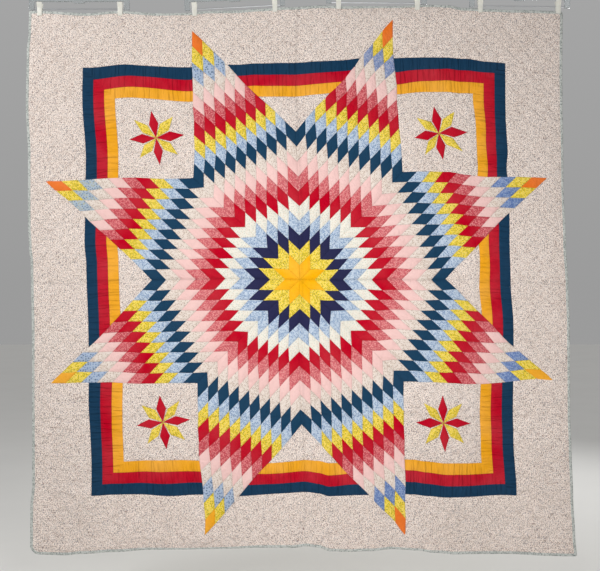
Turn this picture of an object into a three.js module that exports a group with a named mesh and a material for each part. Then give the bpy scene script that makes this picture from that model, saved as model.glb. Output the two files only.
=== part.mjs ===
// A pieced star quilt that hangs face on from four clip hangers.
// Millimetres, +X to the viewer's right, +Y away from the viewer, +Z up.
// Everything is laid out around the star's middle, and the last lines move the whole to its own middle.

import * as THREE from "three";
import { mergeVertices } from "three/addons/utils/BufferGeometryUtils.js";

const { degToRad, lerp, smoothstep } = THREE.MathUtils;

// Patchwork
const DIAMOND_SIDE = 50.8;
const DIAMONDS_PER_SIDE = 10;
const STAR_POINTS = 8;
const HALF_WIDTH = 937;
const HALF_HEIGHT = 940;

// Cloth
const CLOTH_THICKNESS = 3;
const DIAMOND_PUFF = 3.2;
const GROUND_PUFF = 2;
const BINDING_WIDTH = 10;
const BINDING_CLOTH = 0.9;
const GAP = 0.3;
const MERGE_DISTANCE = 0.001;

// Clip hangers, each measured from the middle of its bar
const BAR_RADIUS = 2.3;
const FRAME_HALF_LENGTH = 175;
const FRAME_DEPTH = 7;
const ARM_WIDTH = 19;
const ARM_BOTTOM = -4;
const ARM_ROUNDING = 4;
const BEAM_UNDERSIDE = 25;
const BEAM_TOP = 36;
const BEAM_ROUNDING = 9;
const BOSS_HALF_WIDTH = 9;
const BOSS_TOP = 44;
const DIP_HALF_WIDTH = 17;
const DIP_UNDERSIDE = 20;
const JAW_TOP = 22;
const JAW_BOTTOM = -23.5;
const JAW_TOP_WIDTH = 18;
const JAW_BOTTOM_WIDTH = 15.5;
const JAW_WALL = 2.4;
const JAW_SPREAD = 6.5;
const SADDLE_HALF_HEIGHT = 4;
const SADDLE_SLOPE = 2;
const WIRE_RADIUS = 1.8;
const HOOK_RADIUS = 17.8;
const HOOK_NECK_RADIUS = 12;
const HOOK_END_ANGLE = degToRad(190);
const RAIL_SEAT_HEIGHT = 1053;
const WIRE_SIDES = 8;
const WIRE_STEPS = 22;
const BAR_SIDES = 10;

// Where the bound edge hangs: how far it lies outside its straight cut line, along that line
const TOP_EDGE = [
  { at: -937, out: -12 }, { at: -900, out: -12 }, { at: -736, out: -20 }, { at: -620, out: -12 },
  { at: -486, out: -20 }, { at: -382, out: -19 }, { at: -300, out: -12 }, { at: -215, out: -11 },
  { at: -132, out: -5 }, { at: -28, out: 1 }, { at: 97, out: 7 }, { at: 180, out: 4 },
  { at: 347, out: 4 }, { at: 480, out: 9 }, { at: 530, out: 8 }, { at: 590, out: -2 },
  { at: 680, out: -6 }, { at: 764, out: -9 }, { at: 937, out: -13 },
];
const RIGHT_EDGE = [
  { at: -940, out: 22 }, { at: -873, out: 16 }, { at: -735, out: 9 }, { at: -560, out: 3 },
  { at: -437, out: -1 }, { at: -145, out: -2 }, { at: -20, out: -6 }, { at: 150, out: -15 },
  { at: 340, out: -23 }, { at: 770, out: -27 }, { at: 940, out: -25 },
];
const BOTTOM_EDGE = [
  { at: -937, out: 20 }, { at: -819, out: 23 }, { at: -760, out: 17 }, { at: -653, out: 8 },
  { at: -528, out: -1 }, { at: -400, out: 0 }, { at: -255, out: 0 }, { at: -140, out: -4 },
  { at: -40, out: -6 }, { at: 10, out: -12 }, { at: 50, out: -7 }, { at: 97, out: 8 },
  { at: 153, out: 11 }, { at: 227, out: 7 }, { at: 310, out: -2 }, { at: 388, out: 2 },
  { at: 450, out: 10 }, { at: 525, out: 17 }, { at: 700, out: 19 }, { at: 822, out: 22 },
  { at: 937, out: 23 },
];
const LEFT_EDGE = [
  { at: -940, out: 0 }, { at: -900, out: 1 }, { at: -770, out: 0 }, { at: -700, out: -6 },
  { at: -180, out: -6 }, { at: 60, out: -2 }, { at: 130, out: 4 }, { at: 200, out: 7 },
  { at: 440, out: 7 }, { at: 610, out: 14 }, { at: 800, out: 11 }, { at: 870, out: 5 },
  { at: 940, out: 3 },
];

// Corner roundings, anticlockwise from the lower right
const CORNER_RADII = [6, 14, 6, 30];

// Star points that lean off their true place: where, how far to the right and up, and how far round
const LEANING_POINTS = [
  { x: 359, z: 867, right: -16, up: 18, reach: 300 },
  { x: 867, z: 359, right: 16, up: 0, reach: 260 },
  { x: 867, z: -359, right: 12, up: 0, reach: 260 },
  { x: -359, z: -867, right: 25, up: -26, reach: 300 },
];
const LEAN_MARGIN = 60;

// Soft upright folds: place at the hem, width, depth at the hem, height where each starts, lean
const FOLDS = [
  { x: -860, width: 130, back: 9, top: 700, lean: 0.02 },
  { x: -560, width: 170, back: -10, top: 450, lean: -0.03 },
  { x: -230, width: 140, back: 8, top: 200, lean: 0.02 },
  { x: 10, width: 90, back: -9, top: 100, lean: 0 },
  { x: 150, width: 110, back: 7, top: -50, lean: 0.04 },
  { x: 420, width: 170, back: -9, top: 500, lean: 0.02 },
  { x: 690, width: 150, back: 10, top: 650, lean: -0.02 },
  { x: 900, width: 110, back: -8, top: 500, lean: 0 },
];

// Storage creases: the direction each one runs, its place, its width, and how far it is pressed in
const CREASES = [
  { runs: "up", at: 6, width: 34, back: 2.4 },
  { runs: "up", at: -468, width: 40, back: 1 },
  { runs: "up", at: 474, width: 40, back: 1 },
  { runs: "across", at: 4, width: 34, back: 1.8 },
  { runs: "across", at: -474, width: 40, back: 2.2 },
];
const CREASE_FADE = 120;

// Hangers: middle of the bar, how far its right end is raised, and its clips' places along it
const HANGERS = [
  { x: -765.5, z: 934, tilt: 0, leftClip: -137, rightClip: 142 },
  { x: -226, z: 940, tilt: 3, leftClip: -140, rightClip: 139 },
  { x: 265, z: 955.5, tilt: -0.6, leftClip: -131, rightClip: 142 },
  { x: 761.5, z: 943, tilt: -0.6, leftClip: -136, rightClip: 134 },
];

const BLOCK_HALF = DIAMONDS_PER_SIDE * DIAMOND_SIDE * (1 + Math.SQRT1_2);
const NOTCH_HALF = DIAMONDS_PER_SIDE * DIAMOND_SIDE * Math.SQRT1_2;
const BORDER = HALF_WIDTH - BLOCK_HALF;

const PATCHWORK = new THREE.MeshStandardMaterial({ color: 0xd8c9be, roughness: 0.92, metalness: 0 });
const BINDING = new THREE.MeshStandardMaterial({ color: 0xb3bfc2, roughness: 0.9, metalness: 0 });
const CLEAR_PLASTIC = new THREE.MeshStandardMaterial({ color: 0xe6eaec, roughness: 0.12, metalness: 0 });
const WHITE_PLASTIC = new THREE.MeshStandardMaterial({ color: 0xeceadf, roughness: 0.4, metalness: 0 });
const STEEL = new THREE.MeshStandardMaterial({ color: 0xc9ccce, roughness: 0.22, metalness: 1 });

// Reads a table of edge places, easing from one row to the next.
function edgeOut(rows, at) {
  const next = rows.findIndex((row) => row.at > at);
  if (next === 0) return rows[0].out;
  if (next < 0) return rows[rows.length - 1].out;
  const [from, to] = [rows[next - 1], rows[next]];
  return lerp(from.out, to.out, smoothstep(at, from.at, to.at));
}

// How far the cloth hangs back from the plane of the clips at a place on the flat quilt.
function depthAt(u, v) {
  let back = 0;
  for (const fold of FOLDS) {
    const aside = (u - fold.x - fold.lean * (v + HALF_HEIGHT)) / fold.width;
    back += fold.back * smoothstep(fold.top - v, 0, fold.top + HALF_HEIGHT) * Math.exp(-aside * aside);
  }
  const belowTop = smoothstep(HALF_HEIGHT - v, BORDER, BORDER + CREASE_FADE);
  for (const crease of CREASES) {
    const aside = ((crease.runs === "up" ? u : v) - crease.at) / crease.width;
    back += crease.back * belowTop * Math.exp(-aside * aside);
  }
  return back;
}

// Carries a place on the flat quilt to where it hangs, in the middle of the cloth's thickness.
function hang(u, v) {
  const across = (u + HALF_WIDTH) / (2 * HALF_WIDTH);
  const up = (v + HALF_HEIGHT) / (2 * HALF_HEIGHT);
  let x = u + lerp(-edgeOut(LEFT_EDGE, v), edgeOut(RIGHT_EDGE, v), across);
  let z = v + lerp(-edgeOut(BOTTOM_EDGE, u), edgeOut(TOP_EDGE, u), up);
  const inside = Math.min(HALF_WIDTH - Math.abs(u), HALF_HEIGHT - Math.abs(v), LEAN_MARGIN) / LEAN_MARGIN;
  for (const lean of LEANING_POINTS) {
    const near = Math.max(0, 1 - ((u - lean.x) ** 2 + (v - lean.z) ** 2) / lean.reach ** 2);
    x += lean.right * inside * near ** 2;
    z += lean.up * inside * near ** 2;
  }
  return new THREE.Vector3(x, depthAt(u, v), z);
}

// The flat quilt: shared points, each with its hanging place and puff, and the cells between them.
class FlatQuilt {
  points = [];
  cells = [];
  places = new Map();

  point(u, v, puff = 0) {
    const key = `${Math.round(u * 10)} ${Math.round(v * 10)}`;
    if (!this.places.has(key)) {
      this.places.set(key, this.points.length);
      this.points.push({ u, v, puff, hung: hang(u, v) });
    }
    return this.places.get(key);
  }

  cell(corners, puff = 0) {
    let area = 0;
    corners.forEach((corner, n) => {
      const a = this.points[corner];
      const b = this.points[corners[(n + 1) % corners.length]];
      area += a.u * b.v - b.u * a.v;
    });
    this.cells.push({ corners: area > 0 ? corners : corners.toReversed(), puff });
  }
}

// The star: eight big diamonds, each a lattice of small ones that puff up between their seams.
function layStar(quilt) {
  for (let n = 0; n < STAR_POINTS; n++) {
    const turn = (2 * Math.PI) / STAR_POINTS;
    const a = new THREE.Vector2(DIAMOND_SIDE, 0).rotateAround(new THREE.Vector2(), n * turn);
    const b = new THREE.Vector2(DIAMOND_SIDE, 0).rotateAround(new THREE.Vector2(), (n + 1) * turn);
    const at = (i, j) => quilt.point(a.x * i + b.x * j, a.y * i + b.y * j);
    for (let i = 0; i < DIAMONDS_PER_SIDE; i++) {
      for (let j = 0; j < DIAMONDS_PER_SIDE; j++) {
        quilt.cell([at(i, j), at(i + 1, j), at(i + 1, j + 1), at(i, j + 1)], DIAMOND_PUFF);
      }
    }
  }
}

// The four corner squares of the ground, quilted so that every other crossing stands up.
function layCornerSquares(quilt) {
  for (const side of [-1, 1]) {
    for (const rise of [-1, 1]) {
      const at = (i, j) => {
        const inner = i % DIAMONDS_PER_SIDE && j % DIAMONDS_PER_SIDE;
        const puff = inner && (i + j) % 2 ? GROUND_PUFF : 0;
        const u = side * (NOTCH_HALF + i * DIAMOND_SIDE);
        const v = rise * (NOTCH_HALF + j * DIAMOND_SIDE);
        return quilt.point(u, v, puff);
      };
      for (let i = 0; i < DIAMONDS_PER_SIDE; i++) {
        for (let j = 0; j < DIAMONDS_PER_SIDE; j++) {
          quilt.cell([at(i, j), at(i + 1, j), at(i + 1, j + 1), at(i, j + 1)]);
        }
      }
    }
  }
}

// The four side triangles of the ground, between neighbouring points of the star.
function laySideTriangles(quilt) {
  const step = DIAMOND_SIDE * Math.SQRT1_2;
  for (let n = 0; n < 4; n++) {
    const middle = new THREE.Vector2();
    const at = (i, j) => {
      const outward = DIAMONDS_PER_SIDE * DIAMOND_SIDE + (i + j) * step;
      const place = new THREE.Vector2(outward, (j - i) * step).rotateAround(middle, (n * Math.PI) / 2);
      const inner = i && j && i + j < DIAMONDS_PER_SIDE;
      return quilt.point(place.x, place.y, inner && (i + j) % 2 ? GROUND_PUFF : 0);
    };
    for (let i = 0; i < DIAMONDS_PER_SIDE; i++) {
      for (let j = 0; i + j < DIAMONDS_PER_SIDE; j++) {
        const corners = [at(i, j), at(i + 1, j), at(i, j + 1)];
        if (i + j + 1 < DIAMONDS_PER_SIDE) corners.splice(2, 0, at(i + 1, j + 1));
        quilt.cell(corners);
      }
    }
  }
}

// Places along one side of the block where its squares' and triangle's quilting lines end.
function blockSteps() {
  const steps = [];
  for (let n = 0; n <= DIAMONDS_PER_SIDE; n++) steps.push(-BLOCK_HALF + n * DIAMOND_SIDE);
  for (let n = 1; n < DIAMONDS_PER_SIDE; n++) steps.push(-NOTCH_HALF + n * DIAMOND_SIDE * Math.SQRT2);
  for (let n = 0; n <= DIAMONDS_PER_SIDE; n++) steps.push(NOTCH_HALF + n * DIAMOND_SIDE);
  return steps;
}

// Stations round the edge, a list for each side, anticlockwise from the bottom. Each one joins a
// place on the block's edge to a place on the cut edge, and a side runs from mid corner to mid corner.
function edgeStations() {
  const sides = [];
  const cut = [HALF_HEIGHT, HALF_WIDTH, HALF_HEIGHT, HALF_WIDTH];
  for (let n = 0; n < 4; n++) {
    const turned = (along, out) => {
      const place = new THREE.Vector2(along, -out).rotateAround(new THREE.Vector2(), (n * Math.PI) / 2);
      return [place.x, place.y];
    };
    const corner = (end, part) => {
      const radius = CORNER_RADII[(n + (end > 0 ? 0 : 3)) % 4];
      const angle = part * Math.PI / 4;
      const along = cut[(n + 1) % 4] - radius * (1 - Math.sin(angle));
      const out = cut[n] - radius * (1 - Math.cos(angle));
      return { inner: turned(end * BLOCK_HALF, BLOCK_HALF), outer: turned(end * along, out) };
    };
    const straight = blockSteps().map((along) => ({
      inner: turned(along, BLOCK_HALF),
      outer: turned(along, cut[n]),
    }));
    sides.push([corner(-1, 1), corner(-1, 0), ...straight, corner(1, 0), corner(1, 1)]);
  }
  return sides;
}

// A place at a station, in from the cut edge by a distance measured square to the side.
function inFromEdge(station, distance) {
  return hang(...station.outer).lerp(hang(...station.inner), distance / BORDER);
}

// The plain outer border, ending under the binding, and the rim's points in order.
function layBorder(quilt, sides) {
  const rim = [];
  let last = null;
  const stations = sides.flatMap((side) => side.slice(0, -1));
  for (const station of [...stations, stations[0]]) {
    const inner = quilt.point(...station.inner);
    const outer = quilt.point(...station.outer);
    quilt.points[outer].hung = inFromEdge(station, BINDING_CLOTH + GAP);
    if (last) {
      const corners = [last.outer, outer, inner];
      quilt.cell(inner === last.inner ? corners : [last.inner, ...corners]);
      rim.push(outer);
    }
    last = { inner, outer };
  }
  return rim;
}

// A closed geometry from points and triangles, with its faces pointing out.
function closedGeometry(points, triangles) {
  let volume = 0;
  for (const [a, b, c] of triangles) volume += points[a].dot(points[b].clone().cross(points[c]));
  const outward = volume > 0 ? triangles : triangles.map(([a, b, c]) => [a, c, b]);
  const geometry = new THREE.BufferGeometry().setFromPoints(points);
  geometry.setIndex(outward.flat());
  geometry.computeVertexNormals();
  return geometry;
}

// Joins the shared corners of a geometry made of separate faces.
function joined(geometry) {
  geometry.deleteAttribute("normal");
  geometry.deleteAttribute("uv");
  const merged = mergeVertices(geometry, MERGE_DISTANCE);
  merged.computeVertexNormals();
  return merged;
}

// The quilt itself: top, batting and back as one cloth, with the puffs on its front.
function quiltGeometry(sides) {
  const quilt = new FlatQuilt();
  layStar(quilt);
  layCornerSquares(quilt);
  laySideTriangles(quilt);
  const rim = layBorder(quilt, sides);

  const count = quilt.points.length;
  const lift = (hung, y) => hung.clone().add(new THREE.Vector3(0, y, 0));
  const points = quilt.points.map((point) => lift(point.hung, -CLOTH_THICKNESS / 2 - point.puff));
  points.push(...quilt.points.map((point) => lift(point.hung, CLOTH_THICKNESS / 2)));
  const triangles = [];
  for (const { corners, puff } of quilt.cells) {
    for (let n = 1; n < corners.length - 1; n++) {
      triangles.push([corners[0] + count, corners[n + 1] + count, corners[n] + count]);
      if (!puff) triangles.push([corners[0], corners[n], corners[n + 1]]);
    }
    if (puff) {
      const middle = new THREE.Vector3();
      corners.forEach((corner) => middle.addScaledVector(points[corner], 1 / corners.length));
      const top = points.push(lift(middle, -puff)) - 1;
      corners.forEach((corner, n) => triangles.push([corner, corners[(n + 1) % corners.length], top]));
    }
  }
  rim.forEach((corner, n) => {
    const next = rim[(n + 1) % rim.length];
    triangles.push([corner, corner + count, next], [next, corner + count, next + count]);
  });
  return closedGeometry(points, triangles);
}

// One side's binding: a folded strip that wraps the cut edge, mitred at both ends.
function bindingGeometry(stations) {
  const inside = CLOTH_THICKNESS / 2 + GAP;
  const outside = inside + BINDING_CLOTH;
  const section = [
    { inward: BINDING_WIDTH, y: -outside }, { inward: 0, y: -outside },
    { inward: 0, y: outside }, { inward: BINDING_WIDTH, y: outside },
    { inward: BINDING_WIDTH, y: inside }, { inward: BINDING_CLOTH, y: inside },
    { inward: BINDING_CLOTH, y: -inside }, { inward: BINDING_WIDTH, y: -inside },
  ];
  const rings = stations.map((station) => section.map((corner) => {
    const place = inFromEdge(station, corner.inward);
    place.y += corner.y;
    return place;
  }));
  const last = rings.length - 1;
  const shorten = (ring, next) => {
    ring.forEach((point, n) => point.lerp(next[n], GAP / point.distanceTo(next[n])));
  };
  shorten(rings[0], rings[1]);
  shorten(rings[last], rings[last - 1]);

  const sides = section.length;
  const points = rings.flat();
  const triangles = [];
  for (let ring = 0; ring < last; ring++) {
    for (let n = 0; n < sides; n++) {
      const a = ring * sides + n;
      const b = ring * sides + ((n + 1) % sides);
      triangles.push([a, b, a + sides], [b, b + sides, a + sides]);
    }
  }
  const legs = [[0, 1, 6, 7], [1, 2, 5, 6], [2, 3, 4, 5]];
  for (const [a, b, c, d] of legs) {
    const end = last * sides;
    triangles.push([a, c, b], [a, d, c], [end + a, end + b, end + c], [end + a, end + c, end + d]);
  }
  return closedGeometry(points, triangles);
}

// A hanger's moulded frame: a beam with a boss on top, a dip below, and an arm at each end.
function frameGeometry() {
  const shape = new THREE.Shape();
  const armInside = FRAME_HALF_LENGTH - ARM_WIDTH;
  const dipStart = DIP_HALF_WIDTH + BEAM_UNDERSIDE - DIP_UNDERSIDE;
  const turnDown = FRAME_HALF_LENGTH - BEAM_ROUNDING;
  const armTurn = ARM_BOTTOM + ARM_ROUNDING;
  shape.moveTo(-dipStart, BEAM_UNDERSIDE);
  shape.lineTo(-armInside, BEAM_UNDERSIDE);
  shape.lineTo(-armInside, ARM_BOTTOM);
  shape.lineTo(-FRAME_HALF_LENGTH + ARM_ROUNDING, ARM_BOTTOM);
  shape.absarc(-FRAME_HALF_LENGTH + ARM_ROUNDING, armTurn, ARM_ROUNDING, -Math.PI / 2, -Math.PI, true);
  shape.absarc(-turnDown, BEAM_TOP - BEAM_ROUNDING, BEAM_ROUNDING, Math.PI, Math.PI / 2, true);
  shape.lineTo(-BOSS_HALF_WIDTH, BEAM_TOP);
  shape.lineTo(-BOSS_HALF_WIDTH, BOSS_TOP);
  shape.lineTo(BOSS_HALF_WIDTH, BOSS_TOP);
  shape.lineTo(BOSS_HALF_WIDTH, BEAM_TOP);
  shape.absarc(turnDown, BEAM_TOP - BEAM_ROUNDING, BEAM_ROUNDING, Math.PI / 2, 0, true);
  shape.absarc(FRAME_HALF_LENGTH - ARM_ROUNDING, armTurn, ARM_ROUNDING, 0, -Math.PI / 2, true);
  shape.lineTo(armInside, ARM_BOTTOM);
  shape.lineTo(armInside, BEAM_UNDERSIDE);
  shape.lineTo(dipStart, BEAM_UNDERSIDE);
  shape.lineTo(DIP_HALF_WIDTH, DIP_UNDERSIDE);
  shape.lineTo(-DIP_HALF_WIDTH, DIP_UNDERSIDE);
  const thickness = { depth: FRAME_DEPTH, bevelEnabled: false, curveSegments: 4 };
  const geometry = new THREE.ExtrudeGeometry(shape, thickness);
  geometry.translate(0, 0, -FRAME_DEPTH / 2);
  geometry.rotateX(Math.PI / 2);
  return joined(geometry);
}

// One leaf of a clip: it grips the bound edge, rests on the bar, and spreads above it.
function jawGeometry(side) {
  const grip = CLOTH_THICKNESS / 2 + BINDING_CLOTH + 2 * GAP;
  const saddle = BAR_RADIUS + GAP;
  const shape = new THREE.Shape();
  shape.moveTo(grip, JAW_BOTTOM);
  shape.lineTo(grip, -SADDLE_HALF_HEIGHT - SADDLE_SLOPE);
  shape.lineTo(saddle, -SADDLE_HALF_HEIGHT);
  shape.lineTo(saddle, SADDLE_HALF_HEIGHT);
  shape.lineTo(saddle + JAW_SPREAD, JAW_TOP);
  shape.lineTo(saddle + JAW_SPREAD + JAW_WALL, JAW_TOP);
  shape.lineTo(grip + JAW_WALL, SADDLE_HALF_HEIGHT);
  shape.lineTo(grip + JAW_WALL, JAW_BOTTOM);
  shape.closePath();
  const geometry = new THREE.ExtrudeGeometry(shape, { depth: 1, bevelEnabled: false });
  geometry.translate(0, 0, -0.5);
  const basis = new THREE.Matrix4().makeBasis(
    new THREE.Vector3(0, 1, 0), new THREE.Vector3(0, 0, 1), new THREE.Vector3(1, 0, 0));
  geometry.applyMatrix4(basis);
  const place = geometry.getAttribute("position");
  for (let n = 0; n < place.count; n++) {
    const up = (place.getZ(n) - JAW_BOTTOM) / (JAW_TOP - JAW_BOTTOM);
    place.setX(n, place.getX(n) * lerp(JAW_BOTTOM_WIDTH, JAW_TOP_WIDTH, up));
  }
  if (side < 0) geometry.rotateZ(Math.PI);
  return joined(geometry);
}

// The middle line of a hook: a straight stem, a neck that bends back, and most of a circle.
class HookLine extends THREE.Curve {
  constructor(foot, seat) {
    super();
    this.centre = seat - HOOK_RADIUS + WIRE_RADIUS;
    this.foot = foot;
    const drop = Math.sqrt(HOOK_RADIUS ** 2 + 2 * HOOK_RADIUS * HOOK_NECK_RADIUS);
    this.neck = this.centre - drop;
    this.bend = Math.atan2(drop, HOOK_NECK_RADIUS);
    this.stemLength = this.neck - foot;
    this.neckLength = HOOK_NECK_RADIUS * this.bend;
    this.loopLength = HOOK_RADIUS * (HOOK_END_ANGLE + this.bend);
  }

  getPoint(t, target = new THREE.Vector3()) {
    const run = t * (this.stemLength + this.neckLength + this.loopLength);
    if (run < this.stemLength) return target.set(0, 0, this.foot + run);
    if (run < this.stemLength + this.neckLength) {
      const angle = (run - this.stemLength) / HOOK_NECK_RADIUS;
      const y = HOOK_NECK_RADIUS * (1 - Math.cos(angle));
      return target.set(0, y, this.neck + HOOK_NECK_RADIUS * Math.sin(angle));
    }
    const angle = (run - this.stemLength - this.neckLength) / HOOK_RADIUS - this.bend;
    return target.set(0, HOOK_RADIUS * Math.cos(angle), this.centre + HOOK_RADIUS * Math.sin(angle));
  }
}

function hookGeometry(seat) {
  const section = new THREE.Shape(
    Array.from({ length: WIRE_SIDES }, (_, n) => {
      const angle = (2 * Math.PI * n) / WIRE_SIDES;
      return new THREE.Vector2(WIRE_RADIUS * Math.cos(angle), WIRE_RADIUS * Math.sin(angle));
    }),
  );
  const line = new HookLine(BOSS_TOP + GAP, seat);
  return joined(new THREE.ExtrudeGeometry(section, { steps: WIRE_STEPS, extrudePath: line }));
}

function barGeometry() {
  const length = 2 * (FRAME_HALF_LENGTH - ARM_WIDTH - GAP);
  return joined(new THREE.CylinderGeometry(BAR_RADIUS, BAR_RADIUS, length, BAR_SIDES).rotateZ(Math.PI / 2));
}

function mesh(name, geometry, material) {
  const piece = new THREE.Mesh(geometry, material);
  piece.name = name;
  return piece;
}

// One clip hanger, hung from the rail by its hook.
function hanger(name, row) {
  const group = new THREE.Group();
  group.position.set(row.x, 0, row.z);
  group.rotation.y = -degToRad(row.tilt);
  const seat = (RAIL_SEAT_HEIGHT - row.z) / Math.cos(degToRad(row.tilt));
  group.add(mesh(`${name}_bar`, barGeometry(), STEEL));
  group.add(mesh(`${name}_frame`, frameGeometry(), CLEAR_PLASTIC));
  group.add(mesh(`${name}_hook`, hookGeometry(seat), STEEL));
  for (const [end, x] of [["left", row.leftClip], ["right", row.rightClip]]) {
    for (const [face, side] of [["front", -1], ["back", 1]]) {
      const jaw = mesh(`${name}_${end}_jaw_${face}`, jawGeometry(side), WHITE_PLASTIC);
      jaw.position.x = x;
      group.add(jaw);
    }
  }
  return group;
}

const hanging = new THREE.Group();
const sides = edgeStations();
hanging.add(mesh("quilt", quiltGeometry(sides), PATCHWORK));
["bottom", "right", "top", "left"].forEach((name, n) => {
  hanging.add(mesh(`binding_${name}`, bindingGeometry(sides[n]), BINDING));
});
HANGERS.forEach((row, n) => hanging.add(hanger(`hanger_${n + 1}`, row)));

const middle = new THREE.Box3().setFromObject(hanging).getCenter(new THREE.Vector3());
hanging.position.copy(middle).negate();
const part = new THREE.Group().add(hanging);

export default part;
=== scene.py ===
"""A star quilt held by four clip hangers: the visual model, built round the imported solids."""

import logging
import math
from collections.abc import Callable
from dataclasses import dataclass
from enum import Enum

import bmesh
import bpy
import numpy as np
from mathutils import Matrix, Vector


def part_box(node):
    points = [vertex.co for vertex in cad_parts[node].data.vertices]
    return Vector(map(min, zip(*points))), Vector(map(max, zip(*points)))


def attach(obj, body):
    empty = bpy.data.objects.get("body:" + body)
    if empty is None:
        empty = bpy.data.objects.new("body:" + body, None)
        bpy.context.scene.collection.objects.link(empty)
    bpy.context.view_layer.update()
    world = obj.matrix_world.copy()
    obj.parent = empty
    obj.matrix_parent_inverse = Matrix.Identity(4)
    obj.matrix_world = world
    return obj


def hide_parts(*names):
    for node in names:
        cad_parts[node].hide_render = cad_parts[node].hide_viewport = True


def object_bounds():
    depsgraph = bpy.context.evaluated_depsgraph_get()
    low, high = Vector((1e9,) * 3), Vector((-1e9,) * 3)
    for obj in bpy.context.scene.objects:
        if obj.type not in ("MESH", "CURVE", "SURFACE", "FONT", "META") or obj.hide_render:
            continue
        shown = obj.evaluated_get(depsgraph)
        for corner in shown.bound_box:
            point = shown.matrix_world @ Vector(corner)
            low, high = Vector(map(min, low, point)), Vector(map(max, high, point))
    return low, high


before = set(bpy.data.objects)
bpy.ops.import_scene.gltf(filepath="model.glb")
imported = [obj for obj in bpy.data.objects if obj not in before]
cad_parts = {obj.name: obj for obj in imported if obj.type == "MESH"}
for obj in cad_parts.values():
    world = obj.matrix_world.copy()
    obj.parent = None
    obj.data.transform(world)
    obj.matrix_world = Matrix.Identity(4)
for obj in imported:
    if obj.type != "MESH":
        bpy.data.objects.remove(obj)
CAD_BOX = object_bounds()

LOG = logging.getLogger("star_quilt")
MM = 0.001
QUILTING_PITCH = 0.0406
EIGHTH = math.pi / 4
SLANT = math.sqrt(0.5)
# The quilt's corners, as sides of its middle: lower right, upper right, upper left, lower left.
CORNERS = ((1, -1), (1, 1), (-1, 1), (-1, -1))

Colour = tuple[int, int, int]
Light = tuple[float, float, float, float]
Table = tuple[tuple[float, ...], ...]
Array = np.ndarray
Material = bpy.types.Material
Object = bpy.types.Object
Socket = bpy.types.NodeSocket


def linear(colour: Colour) -> Light:
    """A screen colour of 0 to 255 as linear light, with full alpha."""
    parts = [channel / 255 for channel in colour]
    return (*(p / 12.92 if p <= 0.04045 else ((p + 0.055) / 1.055) ** 2.4 for p in parts), 1.0)


def smooth(t: Array) -> Array:
    """The smooth step from 0 to 1 of values clipped to that range."""
    t = np.clip(t, 0.0, 1.0)
    return t * t * (3 - 2 * t)


def cushion(gap: Array, height: float, run: float) -> Array:
    """The rise of padded cloth at a distance from its seam."""
    return height * (1 - np.exp(-gap / run))


def heading(angle: float) -> Array:
    """The flat direction at an angle in radians."""
    return np.array([math.cos(angle), math.sin(angle)])


def run_length(points: Array) -> Array:
    """How far along a line of points each one lies."""
    return np.concatenate([[0], np.cumsum(np.linalg.norm(np.diff(points, axis=0), axis=1))])


def grid_quads(number: Array) -> Array:
    """The quads between the points of a numbered grid, as four numbers each."""
    corners = [number[:-1, :-1], number[1:, :-1], number[1:, 1:], number[:-1, 1:]]
    return np.stack(corners, -1).reshape(-1, 4)


def put(name: str, data: bpy.types.ID) -> Object:
    """A new object of this data, in the scene."""
    made = bpy.data.objects.new(name, data)
    bpy.context.collection.objects.link(made)
    return made


def operator(operation: str, swapped: bool = False) -> Callable:
    """A method of Value that adds one Math node for its two sides."""
    def method(self: "Value", other: "Value | float") -> "Value":
        """The result of the two sides, swapped if so made."""
        return self._math(operation, *((other, self) if swapped else (self, other)))
    return method


class Value:
    """A shader socket that takes part in Python arithmetic."""

    def __init__(self, tree: bpy.types.NodeTree, socket: Socket) -> None:
        """Keeps the socket and the tree that it belongs to."""
        self.tree = tree
        self.socket = socket

    def _math(self, operation: str, *parts: "Value | float") -> "Value":
        """Adds one Math node.

        Args:
            operation: What the node works out.
            parts: The values and numbers that it works on.

        Returns:
            Its result.
        """
        node = self.tree.nodes.new("ShaderNodeMath")
        node.operation = operation
        for slot, part in zip(node.inputs, parts):
            if isinstance(part, Value):
                self.tree.links.new(part.socket, slot)
            else:
                slot.default_value = part
        return Value(self.tree, node.outputs[0])

    __add__ = __radd__ = operator("ADD")
    __sub__ = operator("SUBTRACT")
    __rsub__ = operator("SUBTRACT", swapped=True)
    __mul__ = __rmul__ = operator("MULTIPLY")
    __truediv__ = operator("DIVIDE")
    # The smaller and the larger of two values, and a value turned back and forth below a reach.
    least = operator("MINIMUM")
    most = operator("MAXIMUM")
    waver = operator("PINGPONG")

    def __abs__(self) -> "Value":
        """The value without its sign."""
        return self._math("ABSOLUTE", self)

    def sine(self) -> "Value":
        """The sine of this value in radians."""
        return self._math("SINE", self)

    def above(self, level: float, soft: float) -> "Value":
        """0 below the level and 1 above it, with a soft step between."""
        node = self._math("MULTIPLY_ADD", self, 1 / soft, 0.5 - level / soft)
        node.socket.node.use_clamp = True
        return node


Tone = Light | Socket
Map = tuple[Socket, Value, Value]


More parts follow.
